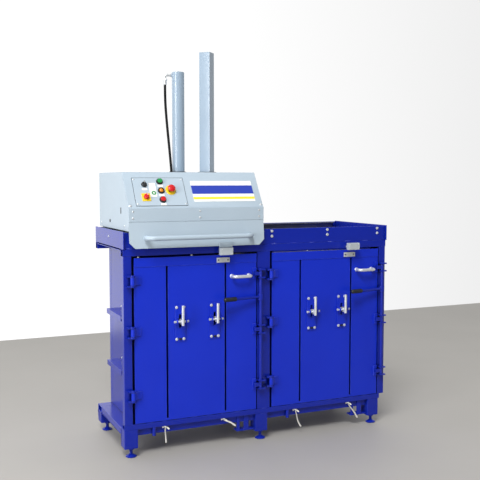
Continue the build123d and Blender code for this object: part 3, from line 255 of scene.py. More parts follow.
# woven polyester band: long cords side by side with fine cross threads, on the band's own UV
def wovenPolyester(name):
    material, tree, shader = newMaterial(name)
    spot = addNode(tree, "ShaderNodeUVMap").outputs["UV"]
    cords = addNode(tree, "ShaderNodeTexWave", {"Scale": 2.2}, {"Vector": spot}, bands_direction="X")
    threads = addNode(tree, "ShaderNodeTexWave", {"Scale": 9.0}, {"Vector": spot}, bands_direction="Y")
    weave = addNode(tree, "ShaderNodeMath", None, {0: cords.outputs["Fac"], 1: threads.outputs["Fac"]},
                    operation="MULTIPLY")
    tone = addNode(tree, "ShaderNodeMix", {6: linearColour("#D9D7CF"), 7: linearColour("#F6F5F0")},
                   {0: weave.outputs["Value"]}, data_type="RGBA")
    tree.links.new(tone.outputs[2], shader.inputs["Base Color"])
    relief = addNode(tree, "ShaderNodeBump", {"Strength": 0.3, "Distance": 0.2 * mm},
                     {"Height": weave.outputs["Value"]})
    tree.links.new(relief.outputs["Normal"], shader.inputs["Normal"])
    shader.inputs["Roughness"].default_value = 0.7
    return material


# painted studio floor: pale, with a faint cloud so that it is no flat colour
def paintedFloor(name, colours):
    material, tree, shader = newMaterial(name)
    spot = addNode(tree, "ShaderNodeTexCoord").outputs["Object"]
    cloud = addNode(tree, "ShaderNodeTexNoise", {"Scale": 1.4, "Detail": 4.0}, {"Vector": spot})
    tone = addNode(tree, "ShaderNodeMix", {6: linearColour(colours[0]), 7: linearColour(colours[1])},
                   {0: cloud.outputs["Fac"]}, data_type="RGBA")
    tree.links.new(tone.outputs[2], shader.inputs["Base Color"])
    shader.inputs["Roughness"].default_value = 0.6
    return material


# printed sheet plate: white ground, broad blue band and a thin yellow one below, read from the plate's UV
def printedPlate(name):
    material, tree, shader = newMaterial(name)
    uv = addNode(tree, "ShaderNodeUVMap")
    parts = addNode(tree, "ShaderNodeSeparateXYZ", None, {"Vector": uv.outputs["UV"]})
    colour = addNode(tree, "ShaderNodeValToRGB", None, {"Fac": parts.outputs["Y"]})
    colour.color_ramp.interpolation = "CONSTANT"
    stops = ((0.0, "#F4F4EF"), (0.10, "#E9D43A"), (0.22, "#F4F4EF"), (0.36, "#2B3FA6"), (0.78, "#F4F4EF"))
    ramp = colour.color_ramp.elements
    while len(ramp) < len(stops):
        ramp.new(0.5)
    for element, (at, code) in zip(ramp, stops):
        element.position = at
        element.color = linearColour(code)
    tree.links.new(colour.outputs["Color"], shader.inputs["Base Color"])
    shader.inputs["Roughness"].default_value = 0.5
    shader.inputs["Specular IOR Level"].default_value = 0.25
    return material


palette = {
    "blue": powderCoatedSteel("powderCoatedSteelBlue", ("#0F29B4", "#1430C2"), (0.26, 0.32),
                              "#5A6BE0", 0.0, coat=0.06, gloss=0.25, paintedShade="#04071F"),
    "blueFrame": powderCoatedSteel("powderCoatedSteelBlueFrame", ("#0C2090", "#10269E"), (0.20, 0.28),
                                   "#4C5CC8", 0.0, coat=0.10, gloss=0.3, paintedShade="#04071F"),
    "grey": powderCoatedSteel("powderCoatedSteelGrey", ("#A5B5C2", "#AEBDC9"), (0.40, 0.48),
                              "#98A5AF", 0.0, coat=0.04, gloss=0.4, paintedShade="#4C5760"),
    "tube": powderCoatedSteel("enamelledSteelTube", ("#8B9EB0", "#98AABB"), (0.10, 0.16),
                              "#B2BFCA", 0.0, coat=0.7, gloss=0.5, paintedShade="#4C5760"),
    "primer": powderCoatedSteel("primedSteel", ("#6E777D", "#80898F"), (0.45, 0.60),
                                "#5A6165", 0.03, coat=0.0),
    "zinc": zincPlatedSteel("zincPlatedSteel", ("#C6CBCF", "#E6E8E9"), (0.26, 0.42)),
    "rail": rolledSteel("rolledSteelWorn"),
    "chrome": chromedSteel("hardChromedSteel"),
    "blackPlastic": mouldedPlastic("mouldedPolyamideBlack", ("#141517", "#1E2023"), 0.42, 1.2),
    "greyPlastic": mouldedPlastic("mouldedAbsPaleGrey", ("#A3ABB0", "#B0B7BB"), 0.38, 1.5),
    "red": mouldedPlastic("mouldedPolycarbonateRed", ("#B51218", "#CC1B20"), 0.24, 2.0, 0.3),
    "green": mouldedPlastic("mouldedPolycarbonateGreen", ("#177A3C", "#21934A"), 0.24, 2.0, 0.3),
    "yellow": mouldedPlastic("mouldedPolycarbonateYellow", ("#E2BC14", "#F0CD2E"), 0.28, 2.0, 0.2),
    "amber": mouldedPlastic("mouldedPolycarbonateAmber", ("#C9720F", "#DD8A1E"), 0.20, 2.0, 0.3),
    "white": mouldedPlastic("engravedLaminateWhite", ("#E8E9E6", "#F4F4F1"), 0.34, 1.5),
    "rubber": extrudedRubber("extrudedRubberBlack"),
    "strap": wovenPolyester("wovenPolyesterWhite"),
    "print": printedPlate("printedAluminiumPlate"),
    "floor": paintedFloor("paintedStudioFloor", roomSetup["floorColours"]),
}
print("stage: materials,", len(palette))


def gridFaces(rows, cols, closeCols):
    # quads of a rows by cols grid, whose columns may run round
    r = np.arange(rows - 1)[:, None]
    c = np.arange(cols if closeCols else cols - 1)[None, :]
    n = (c + 1) % cols
    corners = [r * cols + c, r * cols + n, (r + 1) * cols + n, (r + 1) * cols + c]
    return np.stack(corners, axis=-1).reshape(-1, 4)


def putMesh(name, shape, body, finish, uv=None):
    # whole arrays of points and faces into one smooth mesh, with its place in its points
    points, faces = shape
    mesh = bpy.data.meshes.new(name)
    mesh.from_pydata(points.reshape(-1, 3).tolist(), [], np.array(faces, object).tolist())
    mesh.polygons.foreach_set("use_smooth", np.full(len(mesh.polygons), True))
    if uv is not None:
        layer = mesh.uv_layers.new(name="surface")
        corners = np.zeros(len(mesh.loops), np.int32)
        mesh.loops.foreach_get("vertex_index", corners)
        layer.data.foreach_set("uv", uv.reshape(-1, 2)[corners].astype(np.float32).ravel())
    mesh.update()
    piece = bpy.data.objects.new(name, mesh)
    bpy.context.scene.collection.objects.link(piece)
    piece.data.materials.append(palette[finish])
    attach(piece, body)
    return piece


def axesAbout(direction):
    # two directions square to the given one, right-handed with it
    along = np.array(direction, float) / np.linalg.norm(direction)
    side = np.cross([0.0, 0.0, 1.0], along) if abs(along[2]) < 0.9 else np.array([1.0, 0.0, 0.0])
    side = side - along * (side @ along)
    side = side / np.linalg.norm(side)
    return side, np.cross(along, side), along


def turned(profile, places, direction, steps, outline=None):
    # P(u, v) = place + r(v) f(u) (cos u a + sin u b) + h(v) c, for every place at once;
    # profile is (r, h) in mm, and the outline f is round where none is given
    a, b, c = axesAbout(direction)
    u = np.linspace(0, 2 * np.pi, steps, endpoint=False)
    r, h = np.array(profile, float).T * mm
    swell = np.ones(steps) if outline is None else outline(u)
    ring = np.cos(u)[:, None] * a + np.sin(u)[:, None] * b
    shape = r[:, None, None] * swell[None, :, None] * ring[None] + (h[:, None] * c)[:, None, :]
    spots = np.array(places, float).reshape(-1, 3)
    points = spots[:, None, None, :] + shape[None]
    faces = gridFaces(len(r), steps, True)
    count = len(r) * steps
    return points, (faces[None] + (np.arange(len(spots)) * count)[:, None, None]).reshape(-1, 4)


def joined(parts):
    # several (points, faces) sets as one
    points = [np.asarray(spots).reshape(-1, 3) for spots, _ in parts]
    starts = np.cumsum([0] + [len(spots) for spots in points[:-1]]).tolist()
    faces = []
    for (_, some), start in zip(parts, starts):
        faces += [[corner + start for corner in face] for face in np.array(some, object).tolist()]
    return np.concatenate(points), faces


def hexagon(u):
    # radius of a hexagon of unit across-flats radius
    return 1 / np.cos((u + np.pi / 6) % (np.pi / 3) - np.pi / 6)


print("stage: cords")

hoseLook = {
    "route": [  # metres, the hose's own points
        (-0.4706, 0.04605, 1.972), (-0.4706, 0.04605, 1.890), (-0.4662, 0.04205, 1.805),
        (-0.4600, 0.03655, 1.715), (-0.4530, 0.03085, 1.625), (-0.4472, 0.02625, 1.545),
        (-0.4436, 0.02345, 1.490), (-0.4436, 0.02345, 1.445),
    ],
    "diameter": 0.014, "length": 0.528,
}


def splineCurve(name, route, bevel):
    # NURBS line with the route's points as its control points
    curve = bpy.data.curves.new(name, "CURVE")
    curve.dimensions = "3D"
    curve.resolution_u = 12
    curve.bevel_depth = bevel
    curve.bevel_resolution = 6
    curve.use_fill_caps = bevel > 0
    spline = curve.splines.new("NURBS")
    spline.points.add(len(route) - 1)
    for point, spot in zip(spline.points, route):
        point.co = (*spot, 1.0)
    spline.order_u = 3
    spline.use_endpoint_u = True
    return curve


def makeHose(look):
    curve = splineCurve("hydraulicHoseLine", look["route"], look["diameter"] / 2)
    curve.materials.append(palette["rubber"])
    hose = bpy.data.objects.new("hydraulicHoseLine", curve)
    bpy.context.scene.collection.objects.link(hose)
    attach(hose, "head")
    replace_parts(hose, "hydraulic_hose")


strapLook = {
    "width": 0.009, "thick": 0.0012,  # metres
    "corners": 16, "slim": 0.98,  # of the band's section, and how far it and the knot fill their size
    "twist": (0.9, 1.4), "earTwist": (1.1, 1.7),  # radians, from the knot to the end
    "knot": 0.0072, "lump": 0.16,  # metres, radius of the ball, and the share of it that its lumps stand out
    "knotGrid": (12, 20), "pole": 0.001,  # rows and columns, and radians left open at each pole
    "ears": ((-1.0, 0.2), (1.0, -0.5)), "earLength": 0.019,  # where the knot's loose ends point, X and Z
    "earBow": (0.0, -0.35, -0.3),  # how they bend forwards and down, as shares of their length
    "routes": {  # metres, X and Z of each tail's own points
        "strap_tail_1": [
            (-0.572, 0.140), (-0.574, 0.118), (-0.5705, 0.096), (-0.571, 0.076), (-0.5685, 0.057),
        ],
        "strap_tail_2": [(-0.236, 0.140), (-0.219, 0.131), (-0.199, 0.122), (-0.181, 0.109), (-0.165, 0.097)],
        "strap_tail_3": [(0.206, 0.140), (0.214, 0.115), (0.2185, 0.088), (0.228, 0.062), (0.243, 0.040)],
        "strap_tail_4": [(0.555, 0.140), (0.570, 0.117), (0.588, 0.096), (0.606, 0.071), (0.622, 0.045)],
    },
}


def linePoints(route):
    # points along the route's NURBS line
    curve = splineCurve("routeLine", route, 0.0)
    carrier = bpy.data.objects.new("routeLine", curve)
    bpy.context.scene.collection.objects.link(carrier)
    bpy.context.view_layer.update()
    line = bpy.data.meshes.new_from_object(carrier)
    points = np.zeros(len(line.vertices) * 3)
    line.vertices.foreach_get("co", points)
    bpy.data.objects.remove(carrier)
    bpy.data.curves.remove(curve)
    bpy.data.meshes.remove(line)
    return points.reshape(-1, 3)


def flatBand(path, twist, look):
    # section (w, t) = half width cos v and half thickness sin v, squared off, carried along the line, twisted
    along = np.gradient(path, axis=0)
    along /= np.linalg.norm(along, axis=1)[:, None]
    flat = np.tile([0.0, 1.0, 0.0], (len(path), 1))
    lean = np.cross(along, flat)
    twist = np.linspace(*twist, len(path))[:, None]
    across = flat * np.cos(twist) + lean * np.sin(twist)
    up = np.cross(along, across)
    v = np.linspace(0, 2 * np.pi, look["corners"], endpoint=False)
    square = np.maximum(np.abs(np.cos(v)), np.abs(np.sin(v)))
    w = look["width"] / 2 * np.cos(v) / square * look["slim"]
    t = look["thick"] / 2 * np.sin(v) / square
    points = path[:, None] + w[None, :, None] * across[:, None] + t[None, :, None] * up[:, None]
    faces = gridFaces(len(path), len(v), True).tolist()
    faces.append(list(range(len(v)))[::-1])
    faces.append([(len(path) - 1) * len(v) + i for i in range(len(v))])
    run = np.concatenate([[0], np.cumsum(np.linalg.norm(np.diff(path, axis=0), axis=1))]) / look["width"]
    uv = np.stack(np.broadcast_arrays((np.cos(v) * 0.5 + 0.5)[None], run[:, None]), axis=-1)
    return points, faces, uv


def makeStrap(name, look):
    knotLow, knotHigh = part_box(name)
    y = knotLow.y + (knotHigh.y - knotLow.y) / 2
    path = linePoints([(x, y, z) for x, z in look["routes"][name]])
    *shape, uv = flatBand(path, look["twist"], look)
    strap = putMesh(name + "_band", shape, "chassis", "strap", uv)
    knot = makeKnot(name + "_knot", (path[0][0], y), (path[0][2], knotHigh.z), look)
    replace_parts(strap, name)


def makeKnot(name, spot, span, look):
    # lumpy ball: r(u, v) = r0 (1 + lump sin 3u sin 4v) between the sill and the band
    rows, cols = look["knotGrid"]
    u, v = np.meshgrid(np.linspace(0, 2 * np.pi, cols, endpoint=False),
                       np.linspace(look["pole"], np.pi - look["pole"], rows))
    r = look["knot"] * (1 + look["lump"] * np.sin(3 * u) * np.sin(4 * v))
    half = (span[1] - span[0]) / 2
    points = np.stack([
        spot[0] + r * np.cos(u) * np.sin(v), spot[1] + r * np.sin(u) * np.sin(v),
        span[0] + half - half * np.cos(v) * look["slim"],
    ], axis=-1)
    parts = [(points, gridFaces(rows, cols, True), np.stack([u, v], axis=-1) / np.pi)]
    # loose ends: start + s (dx, 0, dz) L + s^2 bow L, from the knot's middle
    s = np.linspace(0, 1, 10)[:, None]
    for dx, dz in look["ears"]:
        run = s * np.array([dx, 0.0, dz]) + s ** 2 * np.array(look["earBow"])
        path = np.array([*spot, span[0] + half]) + run * look["earLength"]
        parts.append(flatBand(path, look["earTwist"], look))
    shape = joined([(spots, faces) for spots, faces, _ in parts])
    uv = np.concatenate([part[2].reshape(-1, 2) for part in parts])
    return putMesh(name, shape, "chassis", "strap", uv)


makeHose(hoseLook)
for tailName in strapLook["routes"]:
    makeStrap(tailName, strapLook)


def roundedOutline(width, height, corner, steps=5):
    # corner arcs centre + r (cos t, sin t), one quarter turn each, in mm
    t = np.linspace(0, np.pi / 2, steps)
    turn = np.arange(4)[:, None] * np.pi / 2 + t[None]
    sign = np.array([(1, 1), (-1, 1), (-1, -1), (1, -1)])
    middle = sign * np.array([width / 2 - corner, height / 2 - corner])
    return (middle[:, None] + corner * np.stack([np.cos(turn), np.sin(turn)], axis=-1)).reshape(-1, 2)


def slab(place, across, up, size, corner, levels):
    # P(s, k) = place + outline(s) shrunk by inset(k), at height(k) along the normal;
    # levels are (inset, height) in mm
    across, up = np.array(across, float), np.array(up, float)
    out = np.cross(across, up)
    outline = roundedOutline(size[0], size[1], corner)
    half = np.array(size) / 2
    rings = []
    for inset, height in levels:
        shrink = np.maximum(half - inset, 0) / half
        ring = outline * shrink * mm
        rings.append(np.array(place) + ring[:, :1] * across + ring[:, 1:] * up + out * height * mm)
    return np.stack(rings), gridFaces(len(levels), len(outline), True)


plateLook = {"ring": 0.3, "closed": 1e6}  # mm, narrow ring round a face, and the inset that closes the face


def plate(place, across, up, size, corner, thick, edge):
    # slab with a flat back, upright rim, rounded edge, a narrow ring that keeps the face's shading flat, face
    ring, closed = plateLook["ring"], plateLook["closed"]
    turns = np.linspace(0, np.pi / 2, 4)
    rim = [(edge - edge * math.cos(t), thick - edge + edge * math.sin(t)) for t in turns]
    levels = [(closed, 0.0), (ring, 0.0), (0.0, 0.0), *rim, (edge + ring, thick), (closed, thick)]
    return slab(place, across, up, size, corner, levels)


def sweptBar(path, radiusMm, steps):
    # P(s, v) = path(s) + r (cos v a + sin v b), with a kept level along a path in one plane
    path = np.asarray(path, float)
    along = np.gradient(path, axis=0)
    along /= np.linalg.norm(along, axis=1)[:, None]
    plane = np.cross(path[len(path) // 2] - path[0], path[-1] - path[len(path) // 2])
    level = plane / np.linalg.norm(plane)
    side = np.cross(along, level)
    v = np.linspace(0, 2 * np.pi, steps, endpoint=False)
    ring = np.cos(v)[None, :, None] * level + np.sin(v)[None, :, None] * side[:, None]
    points = path[:, None] + radiusMm * mm * ring
    ends = np.stack([np.repeat(path[:1], steps, 0), np.repeat(path[-1:], steps, 0)])
    points = np.concatenate([ends[:1], points, ends[1:]])
    return points, gridFaces(len(points), steps, True)


def bentLine(corners, radius, steps=9):
    # straight runs joined by quarter turns of one radius, corner - r d1 + r sin t d1 + r (1 - cos t) d2
    corners = np.asarray(corners, float)
    line = [corners[0]]
    for before, at, after in zip(corners, corners[1:], corners[2:]):
        first = (at - before) / np.linalg.norm(at - before)
        second = (after - at) / np.linalg.norm(after - at)
        t = np.linspace(0, np.pi / 2, steps)[:, None]
        line.extend(at - radius * first + radius * np.sin(t) * first + radius * (1 - np.cos(t)) * second)
    line.append(corners[-1])
    return np.array(line)


shading = {"merge": 0.01, "crease": 38.0, "fold": 10.0}  # mm, and degrees between faces


def smoothByAngle(name, least):
    # smooth faces, sharp edges where faces meet at less than the least angle or more than a crease
    group = bpy.data.node_groups.new(name, "GeometryNodeTree")
    group.interface.new_socket("Geometry", in_out="INPUT", socket_type="NodeSocketGeometry")
    group.interface.new_socket("Geometry", in_out="OUTPUT", socket_type="NodeSocketGeometry")
    start = addNode(group, "NodeGroupInput")
    angle = addNode(group, "GeometryNodeInputMeshEdgeAngle").outputs["Unsigned Angle"]
    above = addNode(group, "FunctionNodeCompare", {1: math.radians(least)}, {0: angle},
                    data_type="FLOAT", operation="GREATER_EQUAL")
    below = addNode(group, "FunctionNodeCompare", {1: math.radians(shading["crease"])}, {0: angle},
                    data_type="FLOAT", operation="LESS_EQUAL")
    both = addNode(group, "FunctionNodeBooleanMath", None, {0: above.outputs[0], 1: below.outputs[0]},
                   operation="AND")
    faces = addNode(group, "GeometryNodeSetShadeSmooth", {"Shade Smooth": True},
                    {"Geometry": start.outputs[0]}, domain="FACE")
    edges = addNode(group, "GeometryNodeSetShadeSmooth", None,
                    {"Geometry": faces.outputs[0], "Shade Smooth": both.outputs[0]}, domain="EDGE")
    addNode(group, "NodeGroupOutput", None, {0: edges.outputs[0]})
    return group


shadeGroup = smoothByAngle("smoothByAngle", 0.0)
roundGroup = smoothByAngle("smoothRounds", shading["fold"])  # sheet folds of a few degrees stay crisp


def makePiece(name, shape, body, finish, uv=None):
    # one mesh with merged poles, smooth faces and its sharp edges kept sharp
    piece = putMesh(name, shape, body, finish, uv)
    weld = piece.modifiers.new("mergeCorners", "WELD")
    weld.merge_threshold = shading["merge"] * mm
    shade = piece.modifiers.new("shadeByAngle", "NODES")
    shade.node_group = shadeGroup
    return piece


# fasteners of zinc-plated steel: profiles as (radius, height) in mm from the seat up, and their outline
boltLook = {  # hexagon head on a washer
    "steps": 24,
    "shapes": (
        (((6.5, 1.2), (6.5, 1.4), (6.3, 4.4), (4.6, 5.4), (0, 5.4)), hexagon),
        (((8.8, 0), (8.8, 0.9), (8.2, 1.3), (0, 1.3)), None),
    ),
}
screwLook = {  # round head with a hexagon socket
    "steps": 20,
    "shapes": (
        (((5.6, 0), (5.2, 1.2), (3.4, 2.3), (1.9, 2.5), (1.85, 1.6)), None),
        (((1.6, 1.6), (1.5, 0.7), (0, 0.6)), hexagon),
    ),
}


def putFasteners(name, look, body, places, direction, scale=1.0, finish="zinc"):
    # the look's turned shapes at every place of a set at once
    shapes = [turned(np.array(profile) * scale, places, direction, look["steps"], outline)
              for profile, outline in look["shapes"]]
    makePiece(name, joined(shapes), body, finish)


rightWays = np.array([1.0, 0.0, 0.0])
outwards = np.array([0.0, -1.0, 0.0])
rearwards = -outwards
upwards = np.array([0.0, 0.0, 1.0])
slopeFace = {
    "foot": (-0.395, -0.26165, 1.305),  # metres, middle of the slope's lower edge
    "run": 119.0, "rise": 186.0,  # mm
}
slopeLength = math.hypot(slopeFace["run"], slopeFace["rise"])
slopeUp = np.array([0.0, slopeFace["run"], slopeFace["rise"]]) / slopeLength
slopeOut = np.array([0.0, -slopeFace["rise"], slopeFace["run"]]) / slopeLength


def onSlope(offsetMm, riseMm, outMm=0.0):
    # point on the slope by its offset from the head's middle and its height above the lower edge
    up = riseMm * slopeLength / slopeFace["rise"]
    return np.array(slopeFace["foot"]) + (rightWays * offsetMm + slopeUp * up + slopeOut * outMm) * mm


# control panel: knobs, buttons, lamp and their plates, in mm
controlsLook = {
    "face": 2.0,  # the panel's face above the slope
    # places: offset from the head's middle, height above the slope's lower edge
    "selector": (-273.0, 118.0), "mainSwitch": (-273.0, 54.0), "start": (-185.0, 134.0),
    "lamp": (-186.0, 87.0), "stop": (-186.0, 41.0), "emergency": (-133.0, 90.0),
    "labels": ((-273.0, 95.5), (-185.0, 112.0), (-186.0, 65.0), (-186.0, 18.5)),  # below the controls
    "notice": (-230.0, 92.0), "ringMiddle": (-227.0, 76.0),  # tall blank plate between them, and its ring
    "panel": (-193.5, 83.0), "screwXs": (-324.0, -63.0), "screwHeights": (20.0, 146.0),
    # plates: width and height, corner, thickness, edge
    "wing": ((8.0, 26.0), 3.9, 13.2, 2.2), "wingFrom": 11.0,
    "pointer": ((2.0, 10.0), 0.9, 0.35, 0.2), "pointerFrom": 24.0, "pointerRise": 6.0,
    "switchPlate": ((46.0, 46.0), 4.0, 3.0, 0.8),
    "labelPlate": ((28.0, 14.0), 2.0, 1.6, 0.5),
    "noticePlate": ((36.0, 84.0), 2.5, 1.2, 0.4),
    # profiles: radius, height above the face
    "knob": (
        (0, 0.4), (13.4, 0.4), (14.3, 1.2), (14.5, 3.0), (14.2, 8.6), (13.2, 10.8), (11.8, 11.4), (0, 11.4),
    ),
    "stem": ((0, -5.0), (10.5, -5.0), (10.5, 0.6), (0, 0.6)),
    "cap": (
        (0, 4.4), (12.0, 4.4), (13.3, 5.2), (13.5, 6.4), (13.4, 13.0), (12.6, 14.5), (9.0, 15.2), (0, 15.4),
    ),
    "buttonStem": ((0, -5.0), (10.4, -5.0), (10.4, 4.6), (0, 4.6)),
    "bezel": (
        (14.2, 0.0), (18.4, 0.0), (18.5, 0.6), (17.9, 2.6), (16.6, 3.4), (16.4, 8.6), (15.6, 9.6),
        (14.6, 9.6), (14.2, 9.0), (14.2, 0.0),
    ),
    "lens": (
        (0, -5.0), (10.3, -5.0), (10.4, 0), (11.6, 0), (12.0, 1.0), (11.8, 6.0), (10.2, 9.4), (6.4, 11.5),
        (0, 12.0),
    ),
    "collar": (
        (10.9, 0), (28.6, 0), (29.0, 0.5), (28.6, 2.4), (27.6, 3.0), (12.0, 3.0), (10.9, 2.2), (10.9, 0),
    ),
    "mushroom": (
        (0, 17.0), (16.5, 17.0), (20.4, 18.6), (21.0, 20.6), (20.6, 23.4), (18.2, 27.2), (13.4, 29.8),
        (6.8, 30.9), (0, 31.0),
    ),
    "mushroomStem": ((0, -5.0), (10.4, -5.0), (10.4, 10.0), (12.6, 11.6), (12.6, 17.2), (0, 17.2)),
    "noticeRing": ((5.0, 0.0), (12.4, 0.0), (12.2, 0.4), (5.2, 0.4), (5.0, 0.0)),
    "gasketSize": (281.0, 173.0), "gasketCorner": 3.0,  # seal all round the panel, as inset and height
    "gasket": ((0, 0), (0, 0.9), (4.0, 0.9), (4.0, 0), (0, 0)),
}


def onFace(place, outMm=0.0):
    # point on the panel's face, or that far above it
    return onSlope(*place, controlsLook["face"] + outMm)


def makeKnob(name, body, spot, finish, node):
    # turned body with a wing across it, whose ends are rounded, and a pointer line on top
    look = controlsLook
    wing = plate(spot + slopeOut * look["wingFrom"] * mm, rightWays, slopeUp, *look["wing"])
    knob = turned(look["knob"], [spot], slopeOut, steps=40)
    stem = turned(look["stem"], [spot], slopeOut, steps=32)
    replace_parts(makePiece(name, joined([knob, stem, wing]), body, finish), node)
    top = spot + slopeOut * look["pointerFrom"] * mm + slopeUp * look["pointerRise"] * mm
    pointer = plate(top, rightWays, slopeUp, *look["pointer"])
    makePiece(name + "Pointer", pointer, body, "white")


def makeControls(look):
    spot = onFace(look["selector"])
    makeKnob("selectorKnobTurned", "selector", spot, "blackPlastic", "selector_knob")
    spot = onFace(look["mainSwitch"], look["switchPlate"][2])  # on top of its plate
    makeKnob("mainSwitchKnobTurned", "main_switch", spot, "red", "main_switch_knob")
    for key, finish in (("start", "green"), ("stop", "red")):
        cap = turned(look["cap"], [onFace(look[key])], slopeOut, steps=40)
        stem = turned(look["buttonStem"], [onFace(look[key])], slopeOut, steps=32)
        button = makePiece(key + "ButtonCap", joined([cap, stem]), key, finish)
        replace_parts(button, key + "_button")
    spot = onFace(look["emergency"])
    cap = turned(look["mushroom"], [spot], slopeOut, steps=48)
    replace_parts(makePiece("emergencyMushroom", cap, "emergency", "red"), "emergency_stop")
    stem = turned(look["mushroomStem"], [spot], slopeOut, steps=32)
    makePiece("emergencyStem", stem, "emergency", "blackPlastic")
    collar = turned(look["collar"], [spot], slopeOut, steps=48)
    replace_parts(makePiece("emergencyCollar", collar, "head", "yellow"), "panel_fittings")
    places = [onFace(look[key]) for key in ("start", "stop", "lamp")]
    bezels = turned(look["bezel"], places, slopeOut, steps=40)
    makePiece("buttonBezels", bezels, "head", "blackPlastic")
    lens = turned(look["lens"], [onFace(look["lamp"])], slopeOut, steps=40)
    makePiece("lampLens", lens, "head", "amber")
    base = plate(onFace(look["mainSwitch"]), rightWays, slopeUp, *look["switchPlate"])
    makePiece("mainSwitchPlate", base, "head", "yellow")
    holders = [plate(onFace(place), rightWays, slopeUp, *look["labelPlate"]) for place in look["labels"]]
    makePiece("blankLabelHolders", joined(holders), "head", "white")
    notice = plate(onFace(look["notice"]), rightWays, slopeUp, *look["noticePlate"])
    makePiece("blankNoticePlate", notice, "head", "white")
    noticeThick = look["noticePlate"][2]
    ring = turned(look["noticeRing"], [onFace(look["ringMiddle"], noticeThick)], slopeOut, steps=40)
    makePiece("noticeDisc", ring, "head", "green")
    gasket = slab(onSlope(*look["panel"]), rightWays, slopeUp, look["gasketSize"], look["gasketCorner"],
                  look["gasket"])
    makePiece("panelGasket", gasket, "head", "rubber")
    corners = [onFace((x, z)) for x in look["screwXs"] for z in look["screwHeights"]]
    putFasteners("panelScrews", screwLook, "head", corners, slopeOut, scale=0.8)


makeControls(controlsLook)
print("stage: controls")

signLook = {"middle": (163.0, 84.5), "plate": ((354.0, 128.0), 3.0, 1.4, 0.4)}  # mm, on the slope


def makeSign(look):
    # thin plate on the slope; its UV runs 0 to 1 across and up the plate
    middle = onSlope(*look["middle"])
    points, faces = plate(middle, rightWays, slopeUp, *look["plate"])
    wide, high = look["plate"][0]
    away = points - middle
    uv = np.stack([away @ rightWays / (wide * mm) + 0.5, away @ slopeUp / (high * mm) + 0.5], axis=-1)
    makePiece("blankSignPlate", (points, faces), "head", "print", uv)


makeSign(signLook)


def handleLine(ends, look):
    # level bow of a handle: out from one foot, across, and back to the other foot
    left, right = ends
    foot, out, z = look["foot"], look["out"], look["height"]
    return bentLine([(left, foot, z), (left, out, z), (right, out, z), (right, foot, z)], look["bend"])


# push bar on the apron, bent from one tube
pushBarLook = {
    "ends": (-0.6845, -0.1055), "out": -0.3289, "foot": -0.2690, "height": 1.154, "bend": 0.038,  # metres
    "radius": 12.5,  # mm
}


def makePushBar(look):
    tube = sweptBar(handleLine(look["ends"], look), look["radius"], steps=24)
    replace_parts(makePiece("pushBarTube", tube, "head", "grey"), "apron_handle")


makePushBar(pushBarLook)
print("stage: sign and push bar")

sideShift = {"left": 0.0, "right": 0.790}  # metres, from the left chamber's pieces to the right one's

# door grab bars: one round bar, bent into the door at both ends, with a weld collar at each foot
grabLook = {
    "ends": (-0.191, -0.091), "out": -0.27565, "foot": -0.23365, "height": 0.930, "bend": 0.019,  # metres
    "radius": 9.2, "collar": ((11.6, 0), (11.2, 1.4), (9.6, 2.6), (9.0, 3.0)),  # mm
}


def makeGrab(side, look):
    ends = [x + sideShift[side] for x in look["ends"]]
    bar = sweptBar(handleLine(ends, look), look["radius"], steps=28)
    collars = turned(look["collar"], [(x, look["foot"], look["height"]) for x in ends], outwards, steps=28)
    grab = makePiece(side + "GrabBar", joined([bar, collars]), side + "_door_leaf", "zinc")
    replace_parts(grab, side + "_door_handle")


# lock grips: moulded on the lever, with rings to hold and a domed end
gripLook = {
    "axis": (-0.029, -0.25565, 0.812),  # metres, where the lever's line meets the lock's shaft
    "angle": 10.3,  # degrees, between the lever and the door
    "from": 162.0, "length": 78.0, "radius": 12.4, "dome": 11.0,  # mm
    "rings": 9, "ringDeep": 0.9, "ringsFrom": 5.0,
    "neck": ((0, 0), (9.6, 0), (11.4, 0.8), (12.4, 3.0)),
}


def gripProfile(look):
    # r(h) = radius - deep (1 - cos(2 pi n (h - start) / run)) / 2 between the neck and the dome
    start, end = look["ringsFrom"], look["length"] - look["dome"]
    h = np.linspace(start, end, 90)
    wave = 1 - np.cos(2 * np.pi * look["rings"] * (h - start) / (end - start))
    r = look["radius"] - look["ringDeep"] / 2 * wave
    turns = np.linspace(0.1, np.pi / 2, 8)
    dome = [(look["radius"] * math.cos(t), end + look["dome"] * math.sin(t)) for t in turns]
    return [*look["neck"], *zip(r.tolist(), h.tolist()), *dome]


def makeGrip(side, look):
    turn = math.radians(look["angle"])
    along = np.array([-math.cos(turn), -math.sin(turn), 0.0])
    start = np.array(look["axis"]) + rightWays * sideShift[side] + along * look["from"] * mm
    shape = turned(gripProfile(look), [start], along, steps=40)
    grip = makePiece(side + "LockGripMoulded", shape, side + "_lock", "blackPlastic")
    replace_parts(grip, side + "_lock_grip")


# levelling feet: turned discs on threaded stems with a lock nut
footLook = {
    "xs": (-0.753, -0.004, 0.730), "ys": (-0.19765, 0.29935),  # metres
    "disc": (  # mm from here on
        (0, 0), (27.6, 0), (29.0, 1.2), (29.0, 5.6), (28.0, 6.6), (13.0, 14.6), (10.4, 16.6), (8.6, 17.4),
    ),
    "threadFrom": 17.4, "threadTo": 50.8, "pitch": 2.0, "threadDeep": 0.35, "stem": 8.7,
    "nut": ((9.0, 37.0), (12.6, 37.0), (13.4, 38.0), (13.4, 46.0), (12.6, 47.0), (9.0, 47.0)),
}


